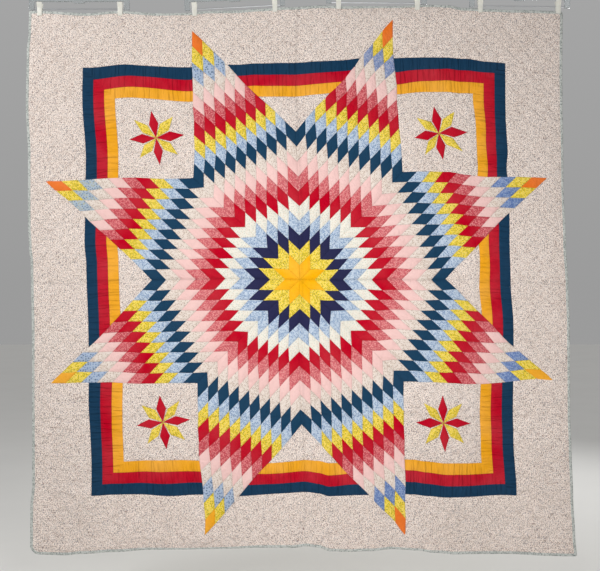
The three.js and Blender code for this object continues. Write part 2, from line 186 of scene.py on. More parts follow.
class Finish:
    """A node material while it is put together."""

    def __init__(self, name: str) -> None:
        """Starts an empty material of this name."""
        self.material = bpy.data.materials.new(name)
        self.material.use_nodes = True
        self.tree = self.material.node_tree
        self.tree.nodes.clear()

    def node(self, kind: str, settings: dict | None = None,
             sockets: dict | None = None) -> bpy.types.Node:
        """Adds one node.

        Args:
            kind: The node's type without its common prefix.
            settings: Properties to set on the node.
            sockets: Numbers, colours or links for its inputs, by name.

        Returns:
            The node.
        """
        node = self.tree.nodes.new("ShaderNode" + kind)
        for name, setting in (settings or {}).items():
            setattr(node, name, setting)
        for name, given in (sockets or {}).items():
            slot = next(s for s in node.inputs if s.name == name and s.enabled)
            if isinstance(given, Value):
                self.tree.links.new(given.socket, slot)
            elif isinstance(given, Socket):
                self.tree.links.new(given, slot)
            else:
                slot.default_value = given
        return node

    def value(self, node: bpy.types.Node, output: str | int = 0) -> Value:
        """One output of a node as a value."""
        return Value(self.tree, node.outputs[output])

    def blend(self, factor: Value, first: Tone, second: Tone) -> Socket:
        """A colour between two others."""
        sockets = {"Factor": factor, "A": first, "B": second}
        node = self.node("Mix", {"data_type": "RGBA"}, sockets)
        return next(s for s in node.outputs if s.enabled)

    def uv(self, name: str) -> Map:
        """A UV map as a vector and as its two values."""
        vector = self.node("UVMap", {"uv_map": name}).outputs["UV"]
        parts = self.node("SeparateXYZ", sockets={"Vector": vector})
        return vector, self.value(parts, "X"), self.value(parts, "Y")

    def vector(self, x: Value, y: Value) -> Socket:
        """A flat vector of two values."""
        return self.node("CombineXYZ", sockets={"X": x, "Y": y}).outputs[0]

    def noise(self, vector: Socket, pitch: float, detail: float = 1.0) -> Value:
        """Flat noise of a pitch in metres, about 0 to 1."""
        sockets = {"Vector": vector, "Scale": 1 / pitch, "Detail": detail}
        return self.value(self.node("TexNoise", {"noise_dimensions": "2D"}, sockets))

    def grain(self, scale: float, detail: float = 2.0) -> Value:
        """Noise through a piece's own space, with its scale in swells a metre."""
        place = self.node("TexCoord").outputs["Object"]
        sockets = {"Vector": place, "Scale": scale, "Detail": detail}
        return self.value(self.node("TexNoise", None, sockets))

    def cells(self, vector: Socket, pitch: float, loose: float) -> tuple[Value, Value]:
        """Scatters dots.

        Args:
            vector: Where to scatter them.
            pitch: How far apart they are, in metres.
            loose: How loosely they are scattered, 0 to 1.

        Returns:
            The distance to the nearest dot in pitches, and a random value for each dot.
        """
        sockets = {"Vector": vector, "Scale": 1 / pitch, "Randomness": loose}
        node = self.node("TexVoronoi", {"voronoi_dimensions": "2D"}, sockets)
        parts = self.node("SeparateColor", sockets={"Color": node.outputs["Color"]})
        return self.value(node, "Distance"), self.value(parts)

    def bump(self, height: Value, depth: float, under: Socket | None = None) -> Socket:
        """Bumps a surface.

        Args:
            height: Its relief, 0 to 1.
            depth: The relief's depth in metres.
            under: A normal to bump further.

        Returns:
            The bumped normal.
        """
        sockets = {"Height": height, "Strength": 1.0, "Distance": depth}
        if under is not None:
            sockets["Normal"] = under
        return self.node("Bump", None, sockets).outputs["Normal"]

    def close(self, sockets: dict) -> Material:
        """Ends the material with a Principled surface that has these inputs."""
        surface = self.node("BsdfPrincipled", None, sockets)
        self.node("OutputMaterial", None, {"Surface": surface.outputs[0]})
        return self.material


@dataclass(frozen=True)
class Creases:
    """Sharp creases and wrinkles in the flat cloth, in metres from the star's middle."""

    # Fold-away creases, up and down then across: place, strength.
    upright: Table = ((0.009, 1.0), (-0.468, 0.45), (0.474, 0.5), (0.616, 0.35))
    level: Table = ((0.0, 0.8), (-0.474, 0.8), (-0.716, 0.35))
    half_width: float = 0.0038
    depth: float = 0.0024
    # How far a crease strays, and the pitch of its bends.
    stray: tuple[float, float] = (0.012, 0.16)
    # Where the wrinkles of the sides and of the hem begin and end, and their fade there.
    side: tuple[float, float] = (0.7, 0.08)
    side_top: tuple[float, float] = (-0.4, 0.12)
    hem_top: tuple[float, float] = (-0.75, 0.05)
    hem_end: tuple[float, float] = (0.62, 0.15)
    # Wrinkles: pitch, slope, strength. Then a wrinkle's width as a part of its length.
    side_wrinkle: tuple[float, float, float] = (0.046, 0.05, 0.6)
    hem_wrinkle: tuple[float, float, float] = (0.05, -0.1, 0.45)
    drawn_out: float = 0.22
    # Half a wrinkle's width as a part of its pitch, and its softness.
    sharp: tuple[float, float] = (0.03, 0.06)

    def folds(self, finish: Finish, flat: Map) -> Value:
        """Works out the fold-away creases.

        Args:
            finish: The material.
            flat: The map of flat places.

        Returns:
            How deep a place lies in them, in depths.
        """
        vector, across, up = flat
        far, pitch = self.stray
        stray = (finish.noise(vector, pitch, 2.0) - 0.5) * far
        total = None
        for place, rows in ((across + stray, self.upright), (up + stray, self.level)):
            for at, strength in rows:
                dip = (1 - abs(place - at).above(self.half_width, 2 * self.half_width)) * strength
                total = dip if total is None else total + dip
        return total

    def wrinkles(self, finish: Finish, flat: Map) -> Value:
        """Works out the wrinkles of the lower sides and the hem.

        Args:
            finish: The material.
            flat: The map of flat places.

        Returns:
            How deep a place lies in them, in depths.
        """
        _, across, up = flat
        pitch, slope, side_strength = self.side_wrinkle
        level = finish.noise(finish.vector(across * self.drawn_out, up + across * slope), pitch)
        pitch, slope, hem_strength = self.hem_wrinkle
        steep = finish.noise(finish.vector(across + up * slope, up * self.drawn_out), pitch)
        side = abs(across).above(*self.side) * (1 - up.above(*self.side_top))
        hem = (1 - up.above(*self.hem_top)) * (1 - abs(across).above(*self.hem_end))
        level, steep = (1 - abs(noise - 0.5).above(*self.sharp) for noise in (level, steep))
        return level * side * side_strength + steep * hem * hem_strength


@dataclass(frozen=True)
class Weave:
    """How all the cottons are woven, worn and sewn, with painted shade in their seams and creases.
    Lengths are in metres.
    """

    thread_pitch: float = 0.0011
    thread_depth: float = 0.00012
    slub_pitch: float = 0.0035
    worn_pitch: float = 0.11
    swell_pitch: float = 0.024
    # Lightness and colour of cloth that isn't worn, and what wear and thick yarn do to them.
    light: float = 0.9
    worn_light: float = 0.13
    slub_light: float = 0.08
    colour: float = 1.04
    worn_colour: float = 0.1
    # A seam's line of painted shade with its softness, how much that painted shade darkens the
    # colour, and how far out the cloth bends to it.
    seam_line: tuple[float, float] = (0.0007, 0.0014)
    seam_painted_shade: float = 0.18
    seam_run: float = 0.0016
    seam_dip: float = 0.4
    crease_dip: float = 0.7
    # How much the creases and wrinkles darken the cloth's colour: painted shade where shade falls
    # in the folds.
    crease_painted_shade: float = 0.1
    # Pleats across the strips, with their sharpness as for wrinkles.
    pleat_pitch: float = 0.021
    pleat_drawn_out: float = 0.12
    pleat_sharp: tuple[float, float] = (0.07, 0.14)
    # How far out the ground bends to its quilting, and the shape of the gathers between.
    furrow_run: float = 0.003
    gather_drawn_out: float = 0.3
    # The least roughness, and what thick yarn adds.
    rough: tuple[float, float] = (0.8, 0.15)
    shine: float = 0.06


CREASES = Creases()
WEAVE = Weave()


@dataclass(frozen=True)
class Motif:
    """What a print is made of: dots, and scrolled lines if any. Sizes are parts of its repeat."""

    loose: float
    dot: float
    dot_soft: float
    line: float = 0.0
    line_soft: float = 0.0
    line_pitch: float = 0.0


class Print(Enum):
    """How a cotton is printed."""

    PLAIN = None
    DOTS = Motif(0.75, 1.0, 0.12)
    SCROLLS = Motif(1.0, 0.7, 0.1, 0.07, 0.025, 1.3)


@dataclass(frozen=True)
class Relief:
    """The relief that sewing leaves: its depth in metres, and the shares that make it up."""

    depth: float
    soft: float
    fine: float
    fine_pitch: float
    sharp: float = 0.0


class Lie(Enum):
    """How a cotton lies: in small patches, in puckered strips, or as quilted ground."""

    PIECED = Relief(0.006, 0.6, 0.4, 0.008)
    PUCKERED = Relief(0.009, 0.3, 0.45, 0.0072, 0.32)
    QUILTED = Relief(0.0075, 0.35, 0.5, 0.011, 0.32)


@dataclass(frozen=True)
class Fabric:
    """A cotton cloth: its screen colour, its print with a repeat in metres, and how it lies."""

    name: str
    colour: Colour
    kind: Print = Print.PLAIN
    ink: Colour = (255, 255, 255)
    second_ink: Colour = (255, 255, 255)
    pitch: float = 0.007
    cover: float = 0.3
    lie: Lie = Lie.PIECED

    def _printed(self, finish: Finish, vector: Socket) -> Tone:
        """Prints the cloth.

        Args:
            finish: The material.
            vector: The cloth's own map.

        Returns:
            Its colour.
        """
        base, motif = linear(self.colour), self.kind.value
        if motif is None:
            return base
        distance, pick = finish.cells(vector, self.pitch, motif.loose)
        mask = 1 - distance.above(self.cover * motif.dot, motif.dot_soft)
        if motif.line:
            line = abs(finish.noise(vector, self.pitch * motif.line_pitch) - 0.5)
            mask = mask.most(1 - line.above(self.cover * motif.line, motif.line_soft))
        either = pick.above(0.5, 0.02)
        ink = finish.blend(either, linear(self.ink), linear(self.second_ink))
        return finish.blend(mask, base, ink)

    def _surface(self, finish: Finish, cloth: Map, flat: Map) -> Value:
        """Works out the relief that the sewing leaves.

        Args:
            finish: The material.
            cloth: The cloth's own map.
            flat: The map of flat places.

        Returns:
            Its height, 0 to 1.
        """
        relief = self.lie.value
        vector, right, up = flat
        height = finish.noise(vector, WEAVE.swell_pitch, 2.0) * relief.soft
        if self.lie is Lie.PUCKERED:
            _, along, across = cloth
            vector = finish.vector(along, across * WEAVE.pleat_drawn_out)
            pleat = abs(finish.noise(vector, WEAVE.pleat_pitch) - 0.5).above(*WEAVE.pleat_sharp)
            height = height + pleat * relief.sharp
        elif self.lie is Lie.QUILTED:
            vector = finish.vector(right * WEAVE.gather_drawn_out, up)
            gaps = [(line * SLANT).waver(QUILTING_PITCH / 2) for line in (right + up, right - up)]
            first, second = (gap / (gap + WEAVE.furrow_run) for gap in gaps)
            height = height + first.least(second) * relief.sharp
        return height + finish.noise(vector, relief.fine_pitch, 2.0) * relief.fine

    def material(self) -> Material:
        """Builds the cloth's material on the maps "cloth", "flat" and "seam"."""
        finish = Finish(self.name)
        cloth, flat = finish.uv("cloth"), finish.uv("flat")
        vector, along, across = cloth
        gap = finish.uv("seam")[1]
        worn = finish.noise(flat[0], WEAVE.worn_pitch, 3.0)
        slub = finish.noise(vector, WEAVE.slub_pitch, 2.0)
        dips = CREASES.folds(finish, flat)
        if self.lie is not Lie.PIECED:
            dips = dips.most(CREASES.wrinkles(finish, flat))
        light = WEAVE.light + worn * WEAVE.worn_light + slub * WEAVE.slub_light
        # Painted shade: the colour is darkened in a narrow line along each seam, where shade falls
        # into it.
        seam_shade_factor = 1 - WEAVE.seam_painted_shade + gap.above(*WEAVE.seam_line) * WEAVE.seam_painted_shade
        shade = finish.node("HueSaturation", None, {
            "Color": self._printed(finish, vector),
            # Painted shade: the colour is darkened in the creases and wrinkles as well as along the
            # seams.
            "Value": light * (1 - dips * WEAVE.crease_painted_shade) * seam_shade_factor,
            "Saturation": WEAVE.colour - worn * WEAVE.worn_colour,
        })
        thread = 2 * math.pi / WEAVE.thread_pitch
        weave = (along * thread).sine() * 0.25 + (across * thread).sine() * 0.25 + 0.5
        sunk = gap / (gap + WEAVE.seam_run) * WEAVE.seam_dip - dips * WEAVE.crease_dip
        normal = finish.bump(sunk, CREASES.depth)
        normal = finish.bump(self._surface(finish, cloth, flat), self.lie.value.depth, normal)
        normal = finish.bump(weave, WEAVE.thread_depth, normal)
        least, more = WEAVE.rough
        return finish.close({
            "Base Color": shade.outputs[0], "Roughness": least + slub * more, "Normal": normal,
            "Specular IOR Level": WEAVE.shine,
        })


class Cotton(Enum):
    """The quilt's cottons."""

    GROUND = Fabric("ground_print", (244, 230, 220), Print.SCROLLS,
                    (140, 114, 106), (118, 110, 116), 0.0051, 0.3, Lie.QUILTED)
    BACKING = Fabric("backing_muslin", (236, 229, 214), lie=Lie.QUILTED)
    MARIGOLD = Fabric("marigold", (250, 180, 14))
    YELLOW = Fabric("yellow_print", (236, 207, 66), Print.DOTS,
                    (150, 140, 50), (248, 228, 138), 0.0048, 0.3)
    INK = Fabric("ink_navy", (42, 43, 78))
    LIGHT_BLUE = Fabric("light_blue_print", (177, 194, 214), Print.DOTS,
                        (112, 138, 178), (210, 220, 232), 0.0046, 0.34)
    WHITE = Fabric("off_white_print", (236, 231, 219), Print.DOTS,
                   (204, 208, 196), (222, 208, 190), 0.007, 0.25)
    RED = Fabric("red", (190, 12, 38))
    SALMON = Fabric("salmon_print", (212, 110, 114), Print.DOTS,
                    (184, 76, 86), (234, 168, 165), 0.0038, 0.33)
    ROSE = Fabric("rose_print", (206, 92, 99), Print.DOTS,
                  (170, 56, 68), (232, 158, 156), 0.0038, 0.33)
    PINK = Fabric("pale_pink", (241, 201, 196))
    CREAM = Fabric("cream_print", (227, 213, 202), Print.DOTS,
                   (178, 154, 138), (240, 230, 222), 0.005, 0.28)
    TEAL = Fabric("teal_navy", (28, 64, 92))
    PERIWINKLE = Fabric("periwinkle_print", (116, 140, 187), Print.DOTS,
                        (74, 100, 160), (168, 182, 208), 0.005, 0.3)
    LILAC_BLUE = Fabric("lilac_blue_print", (140, 154, 190), Print.DOTS,
                        (104, 120, 164), (180, 182, 200), 0.007, 0.3)
    SKY = Fabric("sky_print", (172, 188, 210), Print.DOTS,
                 (92, 112, 140), (126, 148, 186), 0.0085, 0.28)
    GREY_BLUE = Fabric("grey_blue_print", (176, 190, 202), Print.DOTS,
                       (118, 138, 164), (176, 176, 150), 0.0075, 0.3)
    ORANGE = Fabric("orange", (236, 118, 36))
    GOLD = Fabric("gold", (242, 170, 42))
    STRIP_NAVY = Fabric("strip_navy", (26, 60, 88), lie=Lie.PUCKERED)
    STRIP_RED = Fabric("strip_red", (192, 22, 44), lie=Lie.PUCKERED)
    STRIP_GOLD = Fabric("strip_gold", (244, 170, 42), lie=Lie.PUCKERED)

    @property
    def number(self) -> int:
        """The cotton's place among the quilt's materials."""
        return list(Cotton).index(self)


BINDING_COTTON = Fabric("binding_print", (188, 192, 187), Print.DOTS,
                        (130, 137, 136), (208, 211, 208), 0.0052, 0.32)
STRIPS = (Cotton.STRIP_NAVY, Cotton.STRIP_RED, Cotton.STRIP_GOLD)

# The star's rings from its middle out. The blues and the tips differ from point to point.
RINGS = (
    Cotton.MARIGOLD, Cotton.YELLOW, Cotton.INK, Cotton.LIGHT_BLUE, Cotton.WHITE,
    Cotton.RED, Cotton.SALMON, Cotton.PINK, Cotton.CREAM, Cotton.TEAL,
    Cotton.LIGHT_BLUE, Cotton.YELLOW, Cotton.RED, Cotton.ROSE, Cotton.PINK,
    Cotton.CREAM, Cotton.SKY, Cotton.YELLOW, Cotton.ORANGE,
)
BLUE_RING = 16
BLUES = (
    Cotton.PERIWINKLE, Cotton.LILAC_BLUE, Cotton.SKY, Cotton.GREY_BLUE,
    Cotton.SKY, Cotton.SKY, Cotton.PERIWINKLE, Cotton.PERIWINKLE,
)
TIP_RING = 18
GOLD_TIPS = (4, 5, 7)


@dataclass(frozen=True)
class QuiltSizes:
    """The quilt's sizes in millimetres, from the star's middle, and the shape it hangs in."""

    side: float = 50.8
    count: int = 10
    half_width: float = 937.0
    half_height: float = 940.0
    thickness: float = 3.0
    binding: float = 10.0
    border: float = 69.8
    strip: float = 38.1
    strips_left: float = -740.0
    strips_right: float = 741.0
    strips_top: float = 754.0
    strips_bottom: float = -742.0
    # Edges: place along the side, distance out from the straight edge.
    top: Table = (
        (-937, -12), (-900, -12), (-736, -20), (-620, -12), (-486, -20), (-382, -19), (-300, -12),
        (-215, -11), (-132, -5), (-28, 1), (97, 7), (180, 4), (347, 4), (480, 9), (530, 8),
        (590, -2), (680, -6), (764, -9), (937, -13),
    )
    right: Table = (
        (-940, 22), (-873, 16), (-735, 9), (-560, 3), (-437, -1), (-145, -2), (-20, -6),
        (150, -15), (340, -23), (770, -27), (940, -25),
    )
    bottom: Table = (
        (-937, 20), (-819, 23), (-760, 17), (-653, 8), (-528, -1), (-400, 0), (-255, 0),
        (-140, -4), (-40, -6), (10, -12), (50, -7), (97, 8), (153, 11), (227, 7), (310, -2),
        (388, 2), (450, 10), (525, 17), (700, 19), (822, 22), (937, 23),
    )
    left: Table = (
        (-940, 0), (-900, 1), (-770, 0), (-700, -6), (-180, -6), (60, -2), (130, 4), (200, 7),
        (440, 7), (610, 14), (800, 11), (870, 5), (940, 3),
    )
    # The same for the lines inside, which follow the edges more evenly.
    right_inside: Table = (
        (-940, 22), (-873, 13), (-735, 6), (-560, 0), (-437, -4), (-145, -4), (-20, -11),
        (150, -18), (340, -28), (770, -31), (940, -25),
    )
    bottom_inside: Table = (
        (-937, 20), (-819, 20), (-760, 13), (-653, 6), (-528, -1), (-320, -4), (-240, -8),
        (20, -9), (60, -7), (97, 3), (166, 6), (263, 3), (325, -4), (388, 0), (430, 6), (500, 11),
        (638, 13), (805, 17), (937, 23),
    )
    left_inside: Table = (
        (-940, 0), (-900, 0), (-730, -7), (-180, -7), (60, 0), (150, 7), (440, 7), (610, 14),
        (800, 11), (940, 3),
    )
    # How far in an edge eases into those lines.
    ease: float = 150.0
    # Corner radii, in the order of CORNERS.
    corners: tuple[float, ...] = (6, 14, 6, 30)
    # Leaning points: x, z, shift right, shift up, reach.
    leaning: Table = (
        (359, 867, -16, 23, 230), (867, 359, 14, 4, 260), (867, -359, 4, 28, 250),
        (-359, -867, 25, -26, 300), (359, -867, -3, -14, 200), (-840, -355, -5, 12, 230),
        (-375, 865, 0, 9, 150), (-226, 549, 12, -4, 330), (35, 270, 13, -9, 280),
        (410, 280, 22, 7, 340), (225, 567, 7, 11, 230), (541, -180, 10, 3, 300),
        (380, -20, 3, -9, 220), (40, 0, 5, -10, 240), (-104, -214, -5, -7, 300),
        (-181, -582, 5, -18, 300), (-100, -700, 3, -6, 200), (225, -670, 0, -8, 260),
        (492, -720, 0, -9, 220), (-690, -660, 11, 0, 300), (-690, 400, 7, 0, 300),
        (-130, 720, 0, -4, 230), (580, 690, 0, 7, 230), (-450, 0, -4, 4, 250),
        (741, -742, 6, 2, 200), (400, 740, 0, -7, 160), (520, 400, -11, 4, 150),
        (640, 150, 5, 7, 200), (280, 190, 0, -6, 150), (100, -190, -5, 0, 170),
        (-370, -690, 0, 8, 140), (-640, -370, 6, 0, 170), (-700, -300, 4, 8, 150),
        (-860, 335, -6, -2, 160),
    )
    # More leaning points of the ground and its strips alone, then of the pieced star alone.
    ground_leaning: Table = (
        (-690, 680, 0, -11, 140), (-370, 680, 0, -12, 150), (40, 670, 0, -12, 200),
        (335, 680, 0, -11, 100), (520, 640, 0, -4, 90), (600, 760, 0, 5, 70),
        (615, 520, 10, 0, 110), (615, 400, 12, 0, 110), (745, 390, -6, 0, 60),
        (620, 60, 5, 0, 90), (85, -655, 0, -9, 100), (85, -725, 0, -9, 100),
        (390, -690, 0, 8, 140), (-370, -735, 0, 4, 90),
    )
    star_leaning: Table = (
        (262, 705, -5, 14, 110), (325, 890, 2, 7, 100), (-260, 747, 6, 3, 100),
        (-870, 345, -9, -5, 90), (867, -359, 13, -8, 95), (359, -880, 0, -14, 90),
    )
    lean_margin: float = 60.0
    # Hanging folds: x at the hem, half width, depth back, height where it ends, lean.
    folds: Table = (
        (-860, 130, 9, 700, 0.02), (-560, 170, -10, 450, -0.03), (-230, 140, 8, 200, 0.02),
        (10, 90, -9, 100, 0), (150, 110, 7, -50, 0.04), (420, 170, -9, 500, 0.02),
        (690, 150, 10, 650, -0.02), (900, 110, -8, 500, 0),
    )
    # Fold-away creases, upright then level: place, half width, depth back.
    upright_creases: Table = ((9, 16, 1.6), (-468, 24, 0.8), (474, 24, 0.8))
    level_creases: Table = ((0, 16, 1.3), (-474, 24, 1.5))
    crease_fade: float = 120.0
    # Corner stars: x, z, turn in degrees. Then their diamonds' angle.
    small_stars: Table = ((-487, 503, 6.5), (503, 495, 9), (-480, -495, 7), (498, -496, 2))
    small_angle: float = 39.0
    # Padding: its height, and how far it takes to rise from a seam.
    diamond_puff: float = 3.6
    ground_puff: float = 1.8
    seam: float = 7.0
    back_puff: float = 1.1
    back_seam: float = 8.0
    # How deep the ground is tucked under the star, and how soon.
    tuck: float = 1.4
    tuck_run: float = 4.0
    # The uneven lie of washed cloth: its broad and fine swells, and its fade at the edge.
    broad_swell: float = 0.5
    fine_swell: float = 0.35
    swell_fade: float = 30.0
    hatch: float = QUILTING_PITCH / MM
    wobble: float = 1.3
    # A distance from seams that is out of their reach.
    far: float = 20.0

    @property
    def diamond_height(self) -> float:
        """The distance between two opposite sides of a diamond."""
        return self.side * SLANT


class HungShape:
    """The quilt's flat pattern laid into the shape in which it hangs, in millimetres."""

    def __init__(self, sizes: QuiltSizes, shift: Vector) -> None:
        """Keeps the sizes, and where the star's middle is in the model's frame, in metres."""
        self.sizes = sizes
        self.shift = np.array(shift)

    @staticmethod
    def edge_out(rows: Table, at: Array) -> Array:
        """Follows an edge.

        Args:
            rows: The edge's table.
            at: Places along it.

        Returns:
            How far out of its straight line the edge lies there.
        """
        table = np.array(rows, float)
        row = np.clip(np.searchsorted(table[:, 0], at) - 1, 0, len(table) - 2)
        first, last = table[row], table[row + 1]
        part = smooth((at - first[..., 0]) / (last[..., 0] - first[..., 0]))
        return first[..., 1] + (last[..., 1] - first[..., 1]) * part

    def inside(self, u: Array, v: Array) -> Array:
        """How far inside the straight cut edge a flat place lies."""
        return np.minimum(self.sizes.half_width - abs(u), self.sizes.half_height - abs(v))

    def hang(self, u: Array, v: Array, more: Table) -> tuple[Array, Array]:
        """Hangs flat places in the quilt's plane.

        Args:
            u: Flat places across, from the star's middle.
            v: Flat places up.
            more: Leaning points besides those of the whole quilt.

        Returns:
            Their hung places across and up.
        """
        s = self.sizes
        across = (u + s.half_width) / (2 * s.half_width)
        up = (v + s.half_height) / (2 * s.half_height)
        left, right = self.edge_out(s.left_inside, v), self.edge_out(s.right_inside, v)
        bottom = self.edge_out(s.bottom_inside, u)
        x = u - (1 - across) * left + across * right
        z = v - (1 - up) * bottom + up * self.edge_out(s.top, u)
        x = x + smooth(1 - (s.half_width - u) / s.ease) * (self.edge_out(s.right, v) - right)
        x = x - smooth(1 - (s.half_width + u) / s.ease) * (self.edge_out(s.left, v) - left)
        z = z - smooth(1 - (s.half_height + v) / s.ease) * (self.edge_out(s.bottom, u) - bottom)
        free = np.clip(self.inside(u, v), 0, s.lean_margin) / s.lean_margin
        for at_x, at_z, shift, rise, reach in s.leaning + more:
            near = np.maximum(0, 1 - ((u - at_x) ** 2 + (v - at_z) ** 2) / reach ** 2) ** 2
            x = x + shift * free * near
            z = z + rise * free * near
        return x, z

    def depth(self, u: Array, v: Array) -> Array:
        """Folds and creases the cloth.

        Args:
            u: Flat places across, from the star's middle.
            v: Flat places up.

        Returns:
            How far back the cloth's middle lies there.
        """
        s = self.sizes
        back = np.zeros_like(u)
        for x, width, deep, top, lean in s.folds:
            fade = smooth((top - v) / (top + s.half_height))
            back += deep * fade * np.exp(-(((u - x - lean * (v + s.half_height)) / width) ** 2))
        fade = smooth((s.half_height - v - s.border) / s.crease_fade)
        for creases, place in ((s.upright_creases, u), (s.level_creases, v)):
            for at, width, deep in creases:
                back += deep * fade * np.exp(-(((place - at) / width) ** 2))
        return back

    def place(self, u: Array, v: Array, forward: Array,
              more: Table = ()) -> Array:
        """Hangs flat places in the model's frame.

        Args:
            u: Flat places across, from the star's middle.
            v: Flat places up.
            forward: How far each stands forward of the cloth's middle.
            more: Leaning points of the part of the quilt that they lie on.

        Returns:
            Places in metres.
        """
        x, z = self.hang(u, v, more)
        points = np.stack([x, self.depth(u, v) - forward, z], axis=-1)
        return points * MM + self.shift

    def star_depth(self, u: Array, v: Array) -> Array:
        """Measures into the big star.

        Args:
            u: Flat places across, from the star's middle.
            v: Flat places up.

        Returns:
            How far inside the star's edge they lie, below 0 outside it.
        """
        s = self.sizes
        angle = np.arctan2(v, u)
        turned = angle - np.floor(angle / EIGHTH) * EIGHTH
        reach = np.hypot(u, v)
        j = reach * np.sin(turned) / s.diamond_height
        i = reach * np.cos(turned) / s.side - j * SLANT
        return s.diamond_height * (s.count - np.maximum(i, j))

    def strip_depth(self, u: Array, v: Array) -> Array:
        """Measures into the frame of strips.

        Args:
            u: Flat places across, from the star's middle.
            v: Flat places up.

        Returns:
            How far inside its outer edge they lie.
        """
        s = self.sizes
        sideways = np.minimum(u - s.strips_left, s.strips_right - u)
        return np.minimum(sideways, np.minimum(s.strips_top - v, v - s.strips_bottom))

    def unevenness(self, u: Array, v: Array) -> Array:
        """Swells the cloth softly, by waves that never fall into step.

        Args:
            u: Flat places across, from the star's middle.
            v: Flat places up.

        Returns:
            How far it rises there.
        """
        s = self.sizes
        broad = np.sin(u / 37 + np.sin(v / 51) * 1.7) * np.sin(v / 43 + np.sin(u / 67) * 1.9)
        fine = np.sin(u / 17 + v / 29 + 1.3 * np.sin(v / 23)) * np.sin(v / 19 - u / 41)
        rise = s.broad_swell * broad + s.fine_swell * fine
        return rise * smooth((self.inside(u, v) - s.binding) / s.swell_fade)

    def ground_gap(self, u: Array, v: Array) -> Array:
        """Measures the ground and its strips from their seams.

        Args:
            u: Flat places across, from the star's middle.
            v: Flat places up.

        Returns:
            How far the nearest seam is.
        """
        s = self.sizes
        strips = self.strip_depth(u, v)
        seams = np.min([abs(strips - n * s.strip) for n in range(len(STRIPS) + 1)], axis=0)
        star = np.maximum(-self.star_depth(u, v), 0)
        edge = np.maximum(self.inside(u, v) - s.binding, 0)
        return np.minimum(np.minimum(star, seams), edge)

    def ground_height(self, u: Array, v: Array) -> Array:
        """Pads the ground and its strips.

        Args:
            u: Flat places across, from the star's middle.
            v: Flat places up.

        Returns:
            How far they stand forward of the flat front.
        """
        s = self.sizes
        star = self.star_depth(u, v)
        rise = cushion(self.ground_gap(u, v), s.ground_puff, s.seam)
        return np.where(star < 0, rise, -cushion(star, s.tuck, s.tuck_run))

    def back_height(self, u: Array, v: Array) -> Array:
        """Pads the back between its lines of quilting.

        Args:
            u: Flat places across, from the star's middle.
            v: Flat places up.

        Returns:
            How far it stands out.
        """
        s = self.sizes
        star = self.star_depth(u, v) / s.diamond_height
        gap = np.where(star > 0, abs(star - np.round(star)) * s.diamond_height, s.far)
        edge = np.maximum(self.inside(u, v) - s.binding, 0)
        return cushion(np.minimum(gap, edge), s.back_puff, s.back_seam)


class ClothMesh:
    """Quads of cloth, gathered piece by piece."""

    WELD = 2e-5

    def __init__(self) -> None:
        """Starts with no quads."""
        self.points: list[Array] = []
        self.quads: list[Array] = []
        self.maps: dict[str, list[Array]] = {"cloth": [], "flat": [], "seam": []}
        self.fabric: list[Array] = []
        self.total = 0

    def add(self, points: Array, quads: Array, cloth: Array, flat: Array,
            fabric: Array, seam: Array | None = None) -> int:
        """Adds quads.

        Args:
            points: Their points, in metres.
            quads: Four point numbers for each quad.
            cloth: The print's map for each corner, in millimetres.
            flat: The flat place of each corner, in millimetres.
            fabric: The material number of each quad.
            seam: Each corner's distance from the nearest seam, in millimetres, if it has one.

        Returns:
            The number of the first point.
        """
        first = self.total
        self.points.append(points)
        self.quads.append(quads + first)
        away = np.full(quads.shape, QuiltSizes.far) if seam is None else seam
        self.maps["cloth"].append(cloth)
        self.maps["flat"].append(flat)
        self.maps["seam"].append(np.stack([away, np.zeros_like(away)], -1))
        self.fabric.append(fabric)
        self.total += len(points)
        return first

    def build(self, name: str, materials: list[Material]) -> Object:
        """Makes one smooth, welded object.

        Args:
            name: The object's name.
            materials: The materials that the quads' numbers mean.

        Returns:
            The object.
        """
        mesh = bpy.data.meshes.new(name)
        quads = np.concatenate(self.quads)
        mesh.from_pydata(np.concatenate(self.points).tolist(), [], quads.tolist())
        for material in materials:
            mesh.materials.append(material)
        for layer, rows in self.maps.items():
            uv = mesh.uv_layers.new(name=layer)
            uv.data.foreach_set("uv", (np.concatenate(rows) * MM).astype(np.float32).ravel())
        fabric = np.concatenate(self.fabric).astype(np.int32)
        mesh.polygons.foreach_set("material_index", fabric)
        work = bmesh.new()
        work.from_mesh(mesh)
        bmesh.ops.remove_doubles(work, verts=work.verts, dist=self.WELD)
        loose = [v for v in work.verts if not v.link_faces]
        bmesh.ops.delete(work, geom=loose, context="VERTS")
        for face in work.faces:
            face.smooth = True
        work.to_mesh(mesh)
        work.free()
        return put(name, mesh)


